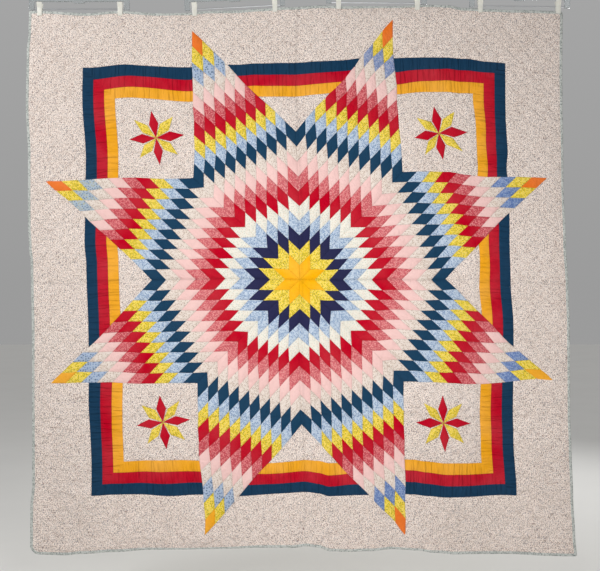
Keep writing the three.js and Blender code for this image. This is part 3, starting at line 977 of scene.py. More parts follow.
class Quilt:
    """The pieced top, the back and the rim between them. Lengths are in millimetres."""

    PITCH = 11.0
    RIM = 1.6
    CREASE = 3.0
    # How far the ground runs on under the star.
    UNDER_STAR = 22.0
    # How far the big star's and the corner stars' seams stand forward of the cloth below.
    STAR_LIFT = 0.3
    SMALL_LIFT = 0.4
    # Where a diamond is divided along its side, close together beside the seams.
    PARTS = (0.0, 0.06, 0.2, 0.5, 0.8, 0.94)
    # Waves by which seams miss their crossings, across then up: for u, for v, start.
    WOBBLE = ((0.131, 0.073, 1.3), (0.089, -0.117, 0.4))
    # Steps by which patches are cut from their cloth: for i, for j, for the grain; cloth's size.
    CUTS = ((173.3, 67.7, 311.0, 419.0), (29.3, 131.9, 0.0, 367.0))

    def __init__(self, shape: HungShape) -> None:
        """Keeps the shape in which the quilt hangs."""
        self.shape = shape
        self.sizes = shape.sizes
        self.mesh = ClothMesh()

    def build(self) -> Object:
        """Builds the quilt as one piece."""
        self._ground()
        for n in range(8):
            self._star_point(n)
        for x, z, turn in self.sizes.small_stars:
            self._small_star(x, z, math.radians(turn))
        cottons = [cotton.value.material() for cotton in Cotton]
        piece = self.mesh.build("patchwork_quilt", cottons)
        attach(piece, "root")
        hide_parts("quilt")
        return piece

    def _lines(self, half: float, marks: list[float]) -> Array:
        """Spaces grid lines about one pitch apart.

        Args:
            half: Where the first and the last line lie.
            marks: Places that have a line of their own and one close beside it on each side.

        Returns:
            The lines' places.
        """
        beside = [mark + step for mark in marks for step in (-self.CREASE, 0, self.CREASE)]
        ends = sorted([-half, *beside, half])
        lines = []
        for a, b in zip(ends, ends[1:]):
            lines.append(np.linspace(a, b, max(1, round((b - a) / self.PITCH)) + 1)[:-1])
        return np.concatenate([*lines, [half]])

    def _rounded(self, u: Array, v: Array) -> tuple[Array, Array]:
        """Draws a grid's four corners in to their rounding.

        Args:
            u: Flat places across, from the star's middle.
            v: Flat places up.

        Returns:
            The grid's flat places across and up.
        """
        s = self.sizes
        u, v = u.copy(), v.copy()
        for radius, (side, rise) in zip(s.corners, CORNERS):
            across = side * u - (s.half_width - radius)
            up = rise * v - (s.half_height - radius)
            reach = np.hypot(np.maximum(across, 0), np.maximum(up, 0))
            pull = np.minimum(1, (radius - self.RIM) / np.maximum(reach, 1e-6))
            pull = np.where((across > 0) & (up > 0), pull, 1)
            u = np.where(pull < 1, side * (s.half_width - radius + across * pull), u)
            v = np.where(pull < 1, rise * (s.half_height - radius + up * pull), v)
        return u, v

    def _ground(self) -> None:
        """The ground with its frame of strips, the back, and the rim between them."""
        s, shape = self.sizes, self.shape
        steps = [n * s.strip for n in range(len(STRIPS) + 1)]
        u_marks = [s.strips_left + d for d in steps] + [s.strips_right - d for d in steps]
        v_marks = [s.strips_bottom + d for d in steps] + [s.strips_top - d for d in steps]
        u_lines = self._lines(s.half_width - self.RIM, u_marks)
        v_lines = self._lines(s.half_height - self.RIM, v_marks)
        u, v = self._rounded(*np.meshgrid(u_lines, v_lines, indexing="ij"))
        number = np.arange(u.size).reshape(u.shape)
        quads = grid_quads(number)
        u, v = u.ravel(), v.ravel()
        height = s.thickness / 2 + shape.ground_height(u, v) + shape.unevenness(u, v)
        front = shape.place(u, v, height, s.ground_leaning)
        depth = -s.thickness / 2 - shape.back_height(u, v)
        back = shape.place(u, v, depth, s.ground_leaning)

        shown = (shape.star_depth(u, v)[quads] < self.UNDER_STAR).any(axis=1)
        flat = np.stack([u, v], -1)[quads]
        cloth, fabric = self._striped(flat)
        seam = shape.ground_gap(u, v)[quads[shown]]
        first = self.mesh.add(front, quads[shown], cloth[shown], flat[shown], fabric[shown], seam)
        plain = np.full(len(quads), Cotton.BACKING.number)
        behind = self.mesh.add(back, quads[:, ::-1], flat[:, ::-1], flat[:, ::-1], plain)

        loop = np.concatenate([number[:, 0], number[-1, 1:], number[-2::-1, -1],
                               number[0, -2:0:-1]])
        after = np.roll(loop, -1)
        wall = np.stack([loop + first, loop + behind, after + behind, after + first], -1)
        rim = np.stack([u, v], -1)[np.stack([loop, loop, after, after], -1)]
        no_points = np.zeros((0, 3))
        self.mesh.add(no_points, wall - self.mesh.total, rim, rim, plain[:len(wall)])

    def _striped(self, flat: Array) -> tuple[Array, Array]:
        """Cuts the ground and its strips.

        Args:
            flat: The flat places of each quad's corners.

        Returns:
            The corners' places in their own cloth, along each strip first, and each quad's cotton.
        """
        s = self.sizes
        u, v = flat.mean(axis=1).T
        inside = self.shape.strip_depth(u, v)
        fabric = np.full(len(flat), Cotton.GROUND.number)
        for n, cotton in enumerate(STRIPS):
            fabric[(inside > n * s.strip) & (inside < (n + 1) * s.strip)] = cotton.number
        upright = np.minimum(u - s.strips_left, s.strips_right - u) <= inside + 1e-6
        turned = ((fabric != Cotton.GROUND.number) & upright)[:, None, None]
        return np.where(turned, flat[..., ::-1], flat), fabric

    def _seam_wobble(self, at: Array) -> Array:
        """Sews by hand.

        Args:
            at: The seams' true crossings.

        Returns:
            How far the seams miss them.
        """
        u, v = np.round(at[..., 0], 3), np.round(at[..., 1], 3)
        waves = [np.sin(u * for_u + v * for_v + start) for for_u, for_v, start in self.WOBBLE]
        return self.sizes.wobble * np.stack(waves, -1)

    def _patches(self, start: Array, a: Array, b: Array,
                 count: int) -> tuple[Array, ...]:
        """Divides a welded lattice of diamonds.

        Args:
            start: The lattice's flat corner.
            a: One side of a diamond.
            b: Its other side.
            count: Diamonds along each side.

        Returns:
            Flat places, distances from the seams, quads, and each quad's two lattice numbers.
        """
        steps = np.append(np.add.outer(np.arange(count), self.PARTS).ravel(), count)
        i, j = np.meshgrid(steps, steps, indexing="ij")
        low_i, low_j = (np.minimum(np.floor(step), count - 1) for step in (i, j))
        part_i, part_j = i - low_i, j - low_j

        def corner(step_i: int, step_j: int) -> Array:
            """The crossing of two seams, with its wobble."""
            at = start + (low_i + step_i)[..., None] * a + (low_j + step_j)[..., None] * b
            return at + self._seam_wobble(at)

        on_i, on_j = part_i[..., None], part_j[..., None]
        flat = ((corner(0, 0) * (1 - on_i) + corner(1, 0) * on_i) * (1 - on_j)
                + (corner(0, 1) * (1 - on_i) + corner(1, 1) * on_i) * on_j)
        away = np.min([part_i, 1 - part_i, part_j, 1 - part_j], axis=0)
        gap = away * self.sizes.diamond_height
        quads = grid_quads(np.arange(i.size).reshape(i.shape))
        cell_i, cell_j = (low[:-1, :-1].astype(int).ravel() for low in (low_i, low_j))
        return flat.reshape(-1, 2), gap.ravel(), quads, cell_i, cell_j

    def _lay(self, patches: tuple[Array, ...], lift: float, grain: float, fabric: Array,
             more: Table) -> None:
        """Adds a lattice of diamonds to the front, each cut from its own place in the cloth.

        Args:
            patches: The lattice.
            lift: How far its seams stand forward of the flat front.
            grain: The angle of its threads in radians.
            fabric: The cotton of each quad.
            more: Leaning points of this part of the quilt.
        """
        s = self.sizes
        flat, gap, quads, cell_i, cell_j = patches
        u, v = flat[:, 0], flat[:, 1]
        height = lift + cushion(gap, s.diamond_puff, s.seam) + self.shape.unevenness(u, v)
        points = self.shape.place(u, v, s.thickness / 2 + height, more)
        along, across = heading(grain)
        turn = np.array([[along, -across], [across, along]])
        cuts = [(cell_i * for_i + cell_j * for_j + grain * for_grain) % size
                for for_i, for_j, for_grain, size in self.CUTS]
        cloth = flat[quads] @ turn + np.stack(cuts, -1)[:, None, :]
        self.mesh.add(points, quads, cloth, flat[quads], fabric, gap[quads])

    def _star_point(self, n: int) -> None:
        """Lays one of the star's eight big diamonds.

        Args:
            n: Which one, from the right and round to the left.
        """
        s = self.sizes
        a, b = (s.side * heading(turn * EIGHTH) for turn in (n, n + 1))
        patches = self._patches(np.zeros(2), a, b, s.count)
        rings = [cotton.number for cotton in RINGS]
        rings[BLUE_RING] = BLUES[n].number
        rings[TIP_RING] = (Cotton.GOLD if n in GOLD_TIPS else Cotton.ORANGE).number
        fabric = np.array(rings)[patches[3] + patches[4]]
        self._lay(patches, self.STAR_LIFT, n * EIGHTH, fabric, s.star_leaning)

    def _small_star(self, x: float, z: float, turn: float) -> None:
        """Lays a corner's star of eight diamonds, red up, down and sideways, yellow between.

        Args:
            x: Its middle's flat place across.
            z: Its middle's flat place up.
            turn: How far it is turned, in radians.
        """
        s = self.sizes
        angle = math.radians(s.small_angle)
        for n in range(8):
            first = turn + n * EIGHTH - angle / 2
            a, b = s.side * heading(first), s.side * heading(first + angle)
            patches = self._patches(np.array([x, z], float), a, b, 1)
            cotton = Cotton.YELLOW if n % 2 else Cotton.RED
            fabric = np.full(len(patches[2]), cotton.number)
            self._lay(patches, s.ground_puff + self.SMALL_LIFT, first, fabric, s.ground_leaning)


class Binding:
    """The narrow folded strip round the cut edge. Lengths are in millimetres."""

    PITCH = 5.0
    CORNER_STEPS = 9
    # How far in the places lie that the sections point to.
    ANCHOR = 32.0
    # Section: distance in from the edge, distance forward of the cloth's middle.
    SECTION: Table = (
        (10.0, 1.75), (9.5, 2.35), (7.6, 2.65), (5.0, 2.7), (2.4, 2.55), (0.7, 1.9), (0.0, 0.7),
        (0.0, -0.7), (0.7, -1.9), (2.4, -2.55), (5.0, -2.7), (7.6, -2.65), (9.5, -2.35),
        (10.0, -1.75), (9.4, -1.62), (1.1, -1.62), (1.1, 1.62), (9.4, 1.62),
    )
    # Outside this distance from the cloth's middle, the section ripples.
    FACE = 2.0
    STITCH_RIPPLE = 0.16
    SLOW_RIPPLE = 0.1
    # The width of the section's last side.
    CLOSING = 3.0

    def __init__(self, shape: HungShape) -> None:
        """Keeps the shape in which the quilt hangs."""
        self.shape = shape

    def _corner(self, side: int, rise: int, inset: float) -> Array:
        """The place as far as the inset inside a corner, from both of its edges."""
        s = self.shape.sizes
        return np.array([side * (s.half_width - inset), rise * (s.half_height - inset)])

    def _stations(self) -> tuple[Array, Array]:
        """Flat places along the cut edge, and the inner place that each one's section points to."""
        outer, inner = [], []
        for n, (radius, corner) in enumerate(zip(self.shape.sizes.corners, CORNERS)):
            anchor = self._corner(*corner, self.ANCHOR)
            middle = self._corner(*corner, radius)
            end = n * math.pi / 2
            for angle in np.linspace(end - math.pi / 2, end, self.CORNER_STEPS):
                outer.append(middle + radius * heading(angle))
                inner.append(anchor)
            after = self._corner(*CORNERS[(n + 1) % 4], self.ANCHOR)
            count = round(np.linalg.norm(after - anchor) / self.PITCH)
            for part in np.linspace(0, 1, count):
                inner.append(anchor + (after - anchor) * part)
                outer.append(inner[-1] + heading(end) * self.ANCHOR)
        return np.array(outer), np.array(inner)

    def build(self) -> Object:
        """Builds the whole binding as one piece."""
        outer, inner = self._stations()
        section = np.array(self.SECTION)
        part = (section[:, 0] / self.ANCHOR)[None, :, None]
        flat = outer[:, None, :] * (1 - part) + inner[:, None, :] * part
        run = run_length(outer)
        ripple = self.STITCH_RIPPLE * np.sin(run / 2.9 + 2 * np.sin(run / 31))
        ripple += self.SLOW_RIPPLE * np.sin(run / 7.3)
        puff = np.where(abs(section[:, 1]) > self.FACE, np.sign(section[:, 1]), 0)
        forward = section[:, 1] + ripple[:, None] * puff
        u, v = flat.reshape(-1, 2).T
        points = self.shape.place(u, v, forward.ravel())
        rows, sides = forward.shape
        number = np.arange(rows * sides).reshape(rows, sides)
        after, beside = np.roll(number, -1, axis=0), np.roll(number, -1, axis=1)
        quads = np.stack([number, after, np.roll(after, -1, axis=1), beside], -1).reshape(-1, 4)
        length = np.append(run, run[-1] + self.PITCH)
        width = run_length(section)
        width = np.append(width, width[-1] + self.CLOSING)
        corners = np.stack(np.meshgrid(length, width, indexing="ij"), -1).reshape(-1, 2)
        numbers = np.arange(len(corners)).reshape(len(length), len(width))
        cloth = corners[grid_quads(numbers)]
        mesh = ClothMesh()
        mesh.add(points, quads, cloth, flat.reshape(-1, 2)[quads], np.zeros(len(quads)))
        piece = mesh.build("edge_binding", [BINDING_COTTON.material()])
        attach(piece, "root")
        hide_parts("binding_bottom", "binding_right", "binding_top", "binding_left")
        return piece


@dataclass(frozen=True)
class StitchSizes:
    """A hand stitch's sizes in metres, and its division."""

    pitch: float = 0.0074
    length: float = 0.0034
    width: float = 0.0009
    segments: int = 4
    rings: int = 3


class Stitching:
    """The quilting stitches on the ground, set along drawn lines by a node tree."""

    # Lengths along a line and clear of the star, the strips and the binding, in millimetres.
    SAMPLE = 6.0
    CLEAR = 9.0
    CLEAR_STRIPS = 3.0
    CLEAR_BINDING = 4.0
    LIFT = 0.15
    SHORTEST = 3

    def __init__(self, shape: HungShape, sizes: StitchSizes) -> None:
        """Keeps the shape in which the quilt hangs, and the stitches' sizes."""
        self.shape = shape
        self.sizes = sizes

    def _clear(self, u: Array, v: Array) -> Array:
        """Finds the ground that is quilted.

        Args:
            u: Flat places across, from the star's middle.
            v: Flat places up.

        Returns:
            Whether they lie on it, clear of all patches.
        """
        s, shape = self.shape.sizes, self.shape
        strips = shape.strip_depth(u, v)
        clear = -shape.star_depth(u, v) > self.CLEAR
        inner = len(STRIPS) * s.strip + self.CLEAR_STRIPS
        clear &= (strips < -self.CLEAR_STRIPS) | (strips > inner)
        clear &= shape.inside(u, v) > s.binding + self.CLEAR_BINDING
        for x, z, _ in s.small_stars:
            clear &= np.hypot(u - x, v - z) > 2 * s.side
        return clear

    def _runs(self) -> list[Array]:
        """The slanted quilting lines, cut where they would cross the patchwork."""
        s, shape = self.shape.sizes, self.shape
        reach = math.hypot(s.half_width, s.half_height)
        along = np.arange(-reach, reach, self.SAMPLE)
        count = int(reach / s.hatch)
        runs = []
        for slant in (1, -1):
            for n in range(-count, count + 1):
                u = (along + n * s.hatch) * SLANT
                v = (n * s.hatch - along) * slant * SLANT
                clear = self._clear(u, v)
                height = shape.ground_height(u, v) + shape.unevenness(u, v)
                height += s.thickness / 2 + self.LIFT
                points = shape.place(u, v, height, s.ground_leaning)
                breaks = np.flatnonzero(np.diff(clear.astype(int))) + 1
                for piece in np.split(np.arange(len(along)), breaks):
                    if clear[piece[0]] and len(piece) > self.SHORTEST:
                        runs.append(points[piece])
        return runs

    def _tree(self, material: Material) -> bpy.types.NodeTree:
        """Builds the node tree that sets a stitch at every pitch along the lines.

        Args:
            material: The thread's material.

        Returns:
            The tree, with inputs for a stitch's pitch, length and width.
        """
        tree = bpy.data.node_groups.new("stitch_lines", "GeometryNodeTree")
        sockets = tree.interface
        sockets.new_socket("Geometry", in_out="INPUT", socket_type="NodeSocketGeometry")
        for name in ("Pitch", "Length", "Width"):
            sockets.new_socket(name, in_out="INPUT", socket_type="NodeSocketFloat")
        sockets.new_socket("Geometry", in_out="OUTPUT", socket_type="NodeSocketGeometry")
        kinds = (
            "NodeGroupInput", "GeometryNodeMeshToCurve", "GeometryNodeResampleCurve",
            "GeometryNodeInputTangent", "FunctionNodeAlignRotationToVector",
            "GeometryNodeMeshUVSphere", "ShaderNodeCombineXYZ", "GeometryNodeInstanceOnPoints",
            "GeometryNodeRealizeInstances", "GeometryNodeSetMaterial", "NodeGroupOutput",
        )
        (given, curve, spaced, tangent, turn, stitch, size, scatter, real, paint,
         done) = (tree.nodes.new(kind) for kind in kinds)
        spaced.mode = "LENGTH"
        turn.axis = "X"
        stitch.inputs["Segments"].default_value = self.sizes.segments
        stitch.inputs["Rings"].default_value = self.sizes.rings
        stitch.inputs["Radius"].default_value = 0.5
        paint.inputs["Material"].default_value = material
        links = (
            (given, "Geometry", curve, "Mesh"), (curve, 0, spaced, "Curve"),
            (given, "Pitch", spaced, "Length"), (tangent, 0, turn, "Vector"),
            (given, "Length", size, "X"), (given, "Width", size, "Y"), (given, "Width", size, "Z"),
            (spaced, 0, scatter, "Points"), (stitch, "Mesh", scatter, "Instance"),
            (turn, 0, scatter, "Rotation"), (size, 0, scatter, "Scale"),
            (scatter, 0, real, 0), (real, 0, paint, "Geometry"), (paint, 0, done, 0),
        )
        for source, output, target, slot in links:
            tree.links.new(source.outputs[output], target.inputs[slot])
        return tree

    @staticmethod
    def _thread() -> Material:
        """The thread's material."""
        finish = Finish("stitch_thread")
        slub = finish.grain(900.0)
        tone = finish.blend(slub, linear((214, 204, 190)), linear((240, 232, 220)))
        return finish.close({
            "Base Color": tone, "Roughness": 0.75 + slub * 0.2, "Specular IOR Level": 0.2,
        })

    def build(self) -> Object:
        """Builds all the stitches as one piece."""
        points, edges = [], []
        for run in self._runs():
            first = len(points)
            points.extend(run.tolist())
            edges.extend((first + n, first + n + 1) for n in range(len(run) - 1))
        lines = bpy.data.meshes.new("stitch_paths")
        lines.from_pydata(points, edges, [])
        drawn = put("stitch_paths", lines)
        tree = self._tree(self._thread())
        modifier = drawn.modifiers.new("stitches", "NODES")
        modifier.node_group = tree
        given = {item.name: item.identifier for item in tree.interface.items_tree
                 if item.item_type == "SOCKET" and item.in_out == "INPUT"}
        modifier[given["Pitch"]] = self.sizes.pitch
        modifier[given["Length"]] = self.sizes.length
        modifier[given["Width"]] = self.sizes.width
        view = bpy.context.evaluated_depsgraph_get()
        made = bpy.data.meshes.new_from_object(drawn.evaluated_get(view))
        made.name = "quilting_stitches"
        bpy.data.objects.remove(drawn)
        piece = put("quilting_stitches", made)
        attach(piece, "root")
        return piece


@dataclass(frozen=True)
class HangerSizes:
    """One clip hanger's sizes in millimetres, from the middle of its bar."""

    half_length: float = 175.0
    arm_width: float = 19.0
    depth: float = 7.0
    arm_bottom: float = -4.0
    arm_rounding: float = 4.0
    inner_rounding: float = 3.0
    beam_underside: float = 25.0
    beam_top: float = 36.0
    beam_rounding: float = 9.0
    boss_half_width: float = 9.0
    boss_top: float = 44.0
    dip_half_width: float = 17.0
    dip_underside: float = 20.0
    edge: float = 1.0
    flange: float = 1.8
    recess: float = 1.8
    recess_draft: float = 0.3
    bar_radius: float = 2.3
    bar_chamfer: float = 0.4
    bar_end: float = 12.0
    jaw_top: float = 22.0
    jaw_bottom: float = -23.5
    jaw_top_width: float = 18.0
    jaw_bottom_width: float = 15.5
    jaw_wall: float = 2.4
    jaw_spread: float = 6.5
    saddle: float = 2.6
    saddle_half_height: float = 4.0
    saddle_slope: float = 2.0
    grip: float = 3.0
    # Finger ribs: how many, their height, where they start up the slope, how far they are sunk.
    ribs: int = 5
    rib: float = 0.35
    rib_start: float = 0.2
    rib_inset: float = 0.2
    wire_radius: float = 1.8
    wire_chamfer: float = 0.3
    hook_radius: float = 17.8
    neck_radius: float = 12.0
    hook_end: float = 190.0
    seat: float = 1053.0
    gap: float = 0.3


class Plastic(Enum):
    """The hangers' finishes."""

    CLEAR = "clear_plastic"
    WHITE = "white_plastic"
    STEEL = "steel"

    def material(self) -> Material:
        """Builds the finish."""
        finish = Finish("hanger_" + self.value)
        haze, fine = finish.grain(90.0, 3.0), finish.grain(700.0)
        if self is Plastic.CLEAR:
            return finish.close({
                "Base Color": (0.86, 0.9, 0.91, 1.0), "Roughness": 0.03 + haze * 0.06,
                "IOR": 1.49, "Transmission Weight": 0.96, "Normal": finish.bump(haze, 0.0002),
            })
        if self is Plastic.WHITE:
            tone = finish.blend(haze, linear((216, 214, 203)), linear((238, 237, 229)))
            return finish.close({
                "Base Color": tone, "Roughness": 0.28 + fine * 0.18, "Subsurface Weight": 0.25,
                "Subsurface Radius": (0.004, 0.004, 0.0035),
                "Normal": finish.bump(fine, 0.00015),
            })
        tone = finish.blend(fine, linear((190, 192, 195)), linear((214, 215, 217)))
        return finish.close({
            "Base Color": tone, "Metallic": 1.0, "Roughness": 0.26 + haze * 0.16,
            "Normal": finish.bump(fine, 0.00008),
        })


class Hanger:
    """One clip hanger: a moulded frame, a steel bar and hook, and two clips of two leaves each."""

    BAR_SIDES = 24
    WIRE_SIDES = 16
    # Edges sharper than this are kept sharp, in degrees: on leaves, and on the other pieces.
    LEAF_SHARP = 50.0
    SHARP = 35.0
    # How far round the hook's tip its last rings lie, in degrees.
    TIP = (30, 60, 80)
    # A leaf's rings: place across in widths, how far its outside is drawn in.
    LEAF_RINGS: Table = (
        (-0.5, 0.55), (-0.47, 0.25), (-0.41, 0.0), (0.0, 0.0), (0.41, 0.0), (0.47, 0.25),
        (0.5, 0.55),
    )

    def __init__(self, number: int, middle: Vector, tilt: float, clips: tuple[float, float],
                 sizes: HangerSizes, finishes: dict[Plastic, Material]) -> None:
        """Sets the hanger's place.

        Args:
            number: 1 to 4 from the left.
            middle: The bar's middle in the model's frame, in metres.
            tilt: How far its right end is raised, in degrees.
            clips: Where the two clips sit along the bar, in millimetres.
            sizes: The hanger's sizes.
            finishes: The material of each finish.
        """
        self.number = number
        self.clips = clips
        self.sizes = sizes
        self.finishes = finishes
        turn = Matrix.Rotation(-math.radians(tilt), 4, "Y")
        self.place = Matrix.Translation(middle) @ turn @ Matrix.Scale(MM, 4)

    def build(self, seat: float) -> list[Object]:
        """Builds the hanger's pieces.

        Args:
            seat: The height of its hook's seat above the bar's middle, in millimetres.

        Returns:
            The pieces.
        """
        pieces = [self._frame(), self._bar(), self._hook(seat)]
        for side, at in zip(("left", "right"), self.clips):
            for face, way in (("front", -1), ("back", 1)):
                pieces.append(self._jaw(side, face, at, way))
        return pieces

    def _piece(self, name: str, node: str, work: bmesh.types.BMesh, finish: Plastic,
               sharp: float = SHARP) -> Object:
        """Makes a piece that stands for a node.

        Args:
            name: The end of the piece's name.
            node: The end of the node's name.
            work: Its shape in millimetres about the bar's middle.
            finish: Its finish.
            sharp: The angle above which its edges stay sharp, in degrees.

        Returns:
            The piece.
        """
        bmesh.ops.transform(work, matrix=self.place, verts=work.verts)
        bmesh.ops.recalc_face_normals(work, faces=work.faces)
        for face in work.faces:
            face.smooth = True
        for edge in work.edges:
            edge.smooth = edge.calc_face_angle(0.0) < math.radians(sharp)
        mesh = bpy.data.meshes.new(name)
        work.to_mesh(mesh)
        work.free()
        mesh.materials.append(self.finishes[finish])
        piece = put(f"clip_hanger_{self.number}_{name}", mesh)
        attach(piece, "root")
        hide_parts(f"hanger_{self.number}_{node}")
        return piece

    @staticmethod
    def _arc(x: float, z: float, radius: float, start: float, end: float,
             steps: int = 8) -> list[tuple[float, float]]:
        """Points on an arc about a middle, between two angles in degrees."""
        angles = np.radians(np.linspace(start, end, steps + 1))
        return [(x + radius * math.cos(a), z + radius * math.sin(a)) for a in angles]

    @staticmethod
    def _skinned(rings: list[list[Vector]]) -> bmesh.types.BMesh:
        """Skins a shape over rings.

        Args:
            rings: Rings of points, all of one count.

        Returns:
            The shape, closed at both ends.
        """
        work = bmesh.new()
        skin = [[work.verts.new(point) for point in ring] for ring in rings]
        for first, last in zip(skin, skin[1:]):
            for n in range(len(first)):
                after = (n + 1) % len(first)
                work.faces.new((first[n], first[after], last[after], last[n]))
        work.faces.new(reversed(skin[0]))
        work.faces.new(skin[-1])
        return work

    def _frame(self) -> Object:
        """The clear frame: a beam with a boss on top, a dip below, and an arm at each end."""
        s = self.sizes
        arm = s.half_length - s.arm_width
        dip = s.dip_half_width + s.beam_underside - s.dip_underside
        right = [(s.dip_half_width, s.dip_underside), (dip, s.beam_underside)]
        r = s.inner_rounding
        right += self._arc(arm - r, s.beam_underside - r, r, 90, 0, 4)
        right += [(arm, s.arm_bottom)]
        r = s.arm_rounding
        right += self._arc(s.half_length - r, s.arm_bottom + r, r, -90, 0, 5)
        r = s.beam_rounding
        right += self._arc(s.half_length - r, s.beam_top - r, r, 0, 90)
        right += [(s.boss_half_width, s.beam_top), (s.boss_half_width, s.boss_top)]
        outline = right + [(-x, z) for x, z in reversed(right)]
        work = bmesh.new()
        face = work.faces.new([work.verts.new((x, -s.depth / 2, z)) for x, z in outline])
        made = bmesh.ops.extrude_face_region(work, geom=[face])
        moved = [v for v in made["geom"] if isinstance(v, bmesh.types.BMVert)]
        bmesh.ops.translate(work, vec=(0, s.depth, 0), verts=moved)
        rims = [e for e in work.edges if abs(e.verts[0].co.y - e.verts[1].co.y) < s.depth / 2]
        bmesh.ops.bevel(work, geom=rims, offset=s.edge, segments=3, affect="EDGES", profile=0.6)
        bmesh.ops.recalc_face_normals(work, faces=work.faces)
        broad = [f for f in work.faces if len(f.verts) > len(right)]
        for inset, depth in ((s.flange, 0.0), (s.recess_draft, -s.recess)):
            bmesh.ops.inset_region(work, faces=broad, thickness=inset, depth=depth,
                                   use_even_offset=True)
        return self._piece("frame", "frame", work, Plastic.CLEAR)

    def _swept(self, path: Array, radius: Array, sides: int) -> bmesh.types.BMesh:
        """Sweeps a round bar along a path in an upright plane, closed at both ends.

        Args:
            path: Points along the bar's middle.
            radius: Its radius at each point.
            sides: The sides of its section.

        Returns:
            The bar.
        """
        rings = []
        for point, way, size in zip(path, np.gradient(path, axis=0), radius.tolist()):
            forward = Vector(way).normalized()
            side = Vector((1, 0, 0)) if abs(forward.x) < 0.9 else Vector((0, 1, 0))
            up = forward.cross(side)
            rings.append([Vector(point) + size * (math.cos(angle) * side + math.sin(angle) * up)
                          for angle in np.linspace(0, 2 * math.pi, sides, endpoint=False)])
        return self._skinned(rings)

    def _bar(self) -> Object:
        """The steel bar between the arms."""
        s = self.sizes
        half = s.half_length - s.arm_width - s.gap
        middle = np.linspace(-half + s.bar_end, half - s.bar_end, 9)
        at = np.array([-half, -half + s.bar_chamfer, *middle, half - s.bar_chamfer, half])
        path = np.stack([at, np.zeros_like(at), np.zeros_like(at)], -1)
        radius = np.full(len(at), s.bar_radius)
        radius[[0, -1]] -= s.bar_chamfer
        work = self._swept(path, radius, self.BAR_SIDES)
        return self._piece("bar", "bar", work, Plastic.STEEL)

    def _hook(self, seat: float) -> Object:
        """Bends the wire hook: a straight stem, a neck that leans back, and most of a circle.

        Args:
            seat: The height of its seat above the bar's middle.

        Returns:
            The hook.
        """
        s = self.sizes
        foot = s.boss_top + s.gap
        centre = seat - s.hook_radius + s.wire_radius
        drop = math.sqrt(s.hook_radius ** 2 + 2 * s.hook_radius * s.neck_radius)
        bend = math.atan2(drop, s.neck_radius)
        stem = [(0.0, z) for z in np.linspace(foot, centre - drop, 7)[:-1]]
        neck = [(s.neck_radius * (1 - math.cos(a)), centre - drop + s.neck_radius * math.sin(a))
                for a in np.linspace(0, bend, 10)]
        circle = [(s.hook_radius * math.cos(a), centre + s.hook_radius * math.sin(a))
                  for a in np.linspace(-bend, math.radians(s.hook_end), 44)[1:]]
        line = np.array(stem + neck + circle)
        path = np.stack([np.zeros(len(line)), line[:, 0], line[:, 1]], -1)
        radius = np.full(len(path), s.wire_radius)
        radius[0] -= s.wire_chamfer
        ahead = path[-1] - path[-2]
        tip = s.wire_radius * np.array([heading(a) for a in np.radians(self.TIP)])
        ends = path[-1] + ahead / np.linalg.norm(ahead) * tip[:, 1:]
        path, radius = np.concatenate([path, ends]), np.concatenate([radius, tip[:, 0]])
        work = self._swept(path, radius, self.WIRE_SIDES)
        return self._piece("hook", "hook", work, Plastic.STEEL)

    def _jaw(self, side: str, face: str, at: float, way: int) -> Object:
        """Builds one leaf of a clip, ribbed where fingers press it and rounded at its edges.

        Args:
            side: The clip's name.
            face: The leaf's name.
            at: Where the clip sits along the bar.
            way: -1 for the leaf in front of the bar, 1 for the one behind it.

        Returns:
            The leaf.
        """
        s = self.sizes
        inner = [(s.grip, s.jaw_bottom), (s.grip, -s.saddle_half_height - s.saddle_slope),
                 (s.saddle, -s.saddle_half_height), (s.saddle, s.saddle_half_height),
                 (s.saddle + s.jaw_spread, s.jaw_top)]
        wall = s.grip + s.jaw_wall
        outer = [(wall, s.jaw_bottom), (wall, s.saddle_half_height)]
        slope = s.saddle + s.jaw_spread - s.grip
        for part in np.linspace(0, 1, 5 * s.ribs)[1:]:
            z = s.saddle_half_height + part * (s.jaw_top - s.saddle_half_height)
            rib = s.rib * (1 - math.cos(part * s.ribs * 2 * math.pi)) / 2
            rib = rib if s.rib_start <= part < 1 else 0
            outer.append((wall + slope * part - s.rib_inset + rib, z))
        profile = inner + outer[::-1]
        rings = []
        for across, draw in self.LEAF_RINGS:
            ring = []
            for n, (y, z) in enumerate(profile):
                up = (z - s.jaw_bottom) / (s.jaw_top - s.jaw_bottom)
                width = s.jaw_bottom_width + (s.jaw_top_width - s.jaw_bottom_width) * up
                y -= draw if n >= len(inner) else 0
                ring.append(Vector((at + across * width, way * y, z)))
            rings.append(ring)
        work = self._skinned(rings)
        name, node = f"{side}_leaf_{face}", f"{side}_jaw_{face}"
        return self._piece(name, node, work, Plastic.WHITE, self.LEAF_SHARP)


# Hangers: bar's middle x and z from the star's middle in millimetres, tilt in degrees, two clips.
HANGERS: Table = (
    (-765.5, 934, 0, -137, 142), (-226, 940, 3, -140, 139), (265, 955.5, -0.6, -131, 142),
    (761.5, 943, -0.6, -136, 134),
)
# The hanger from which the star's middle is measured.
MEASURED = 3


@dataclass(frozen=True)
class Lamp:
    """A square soft light: its name, its place from the star's middle, its size and its power."""

    name: str
    offset: tuple[float, float, float]
    size: float
    power: float


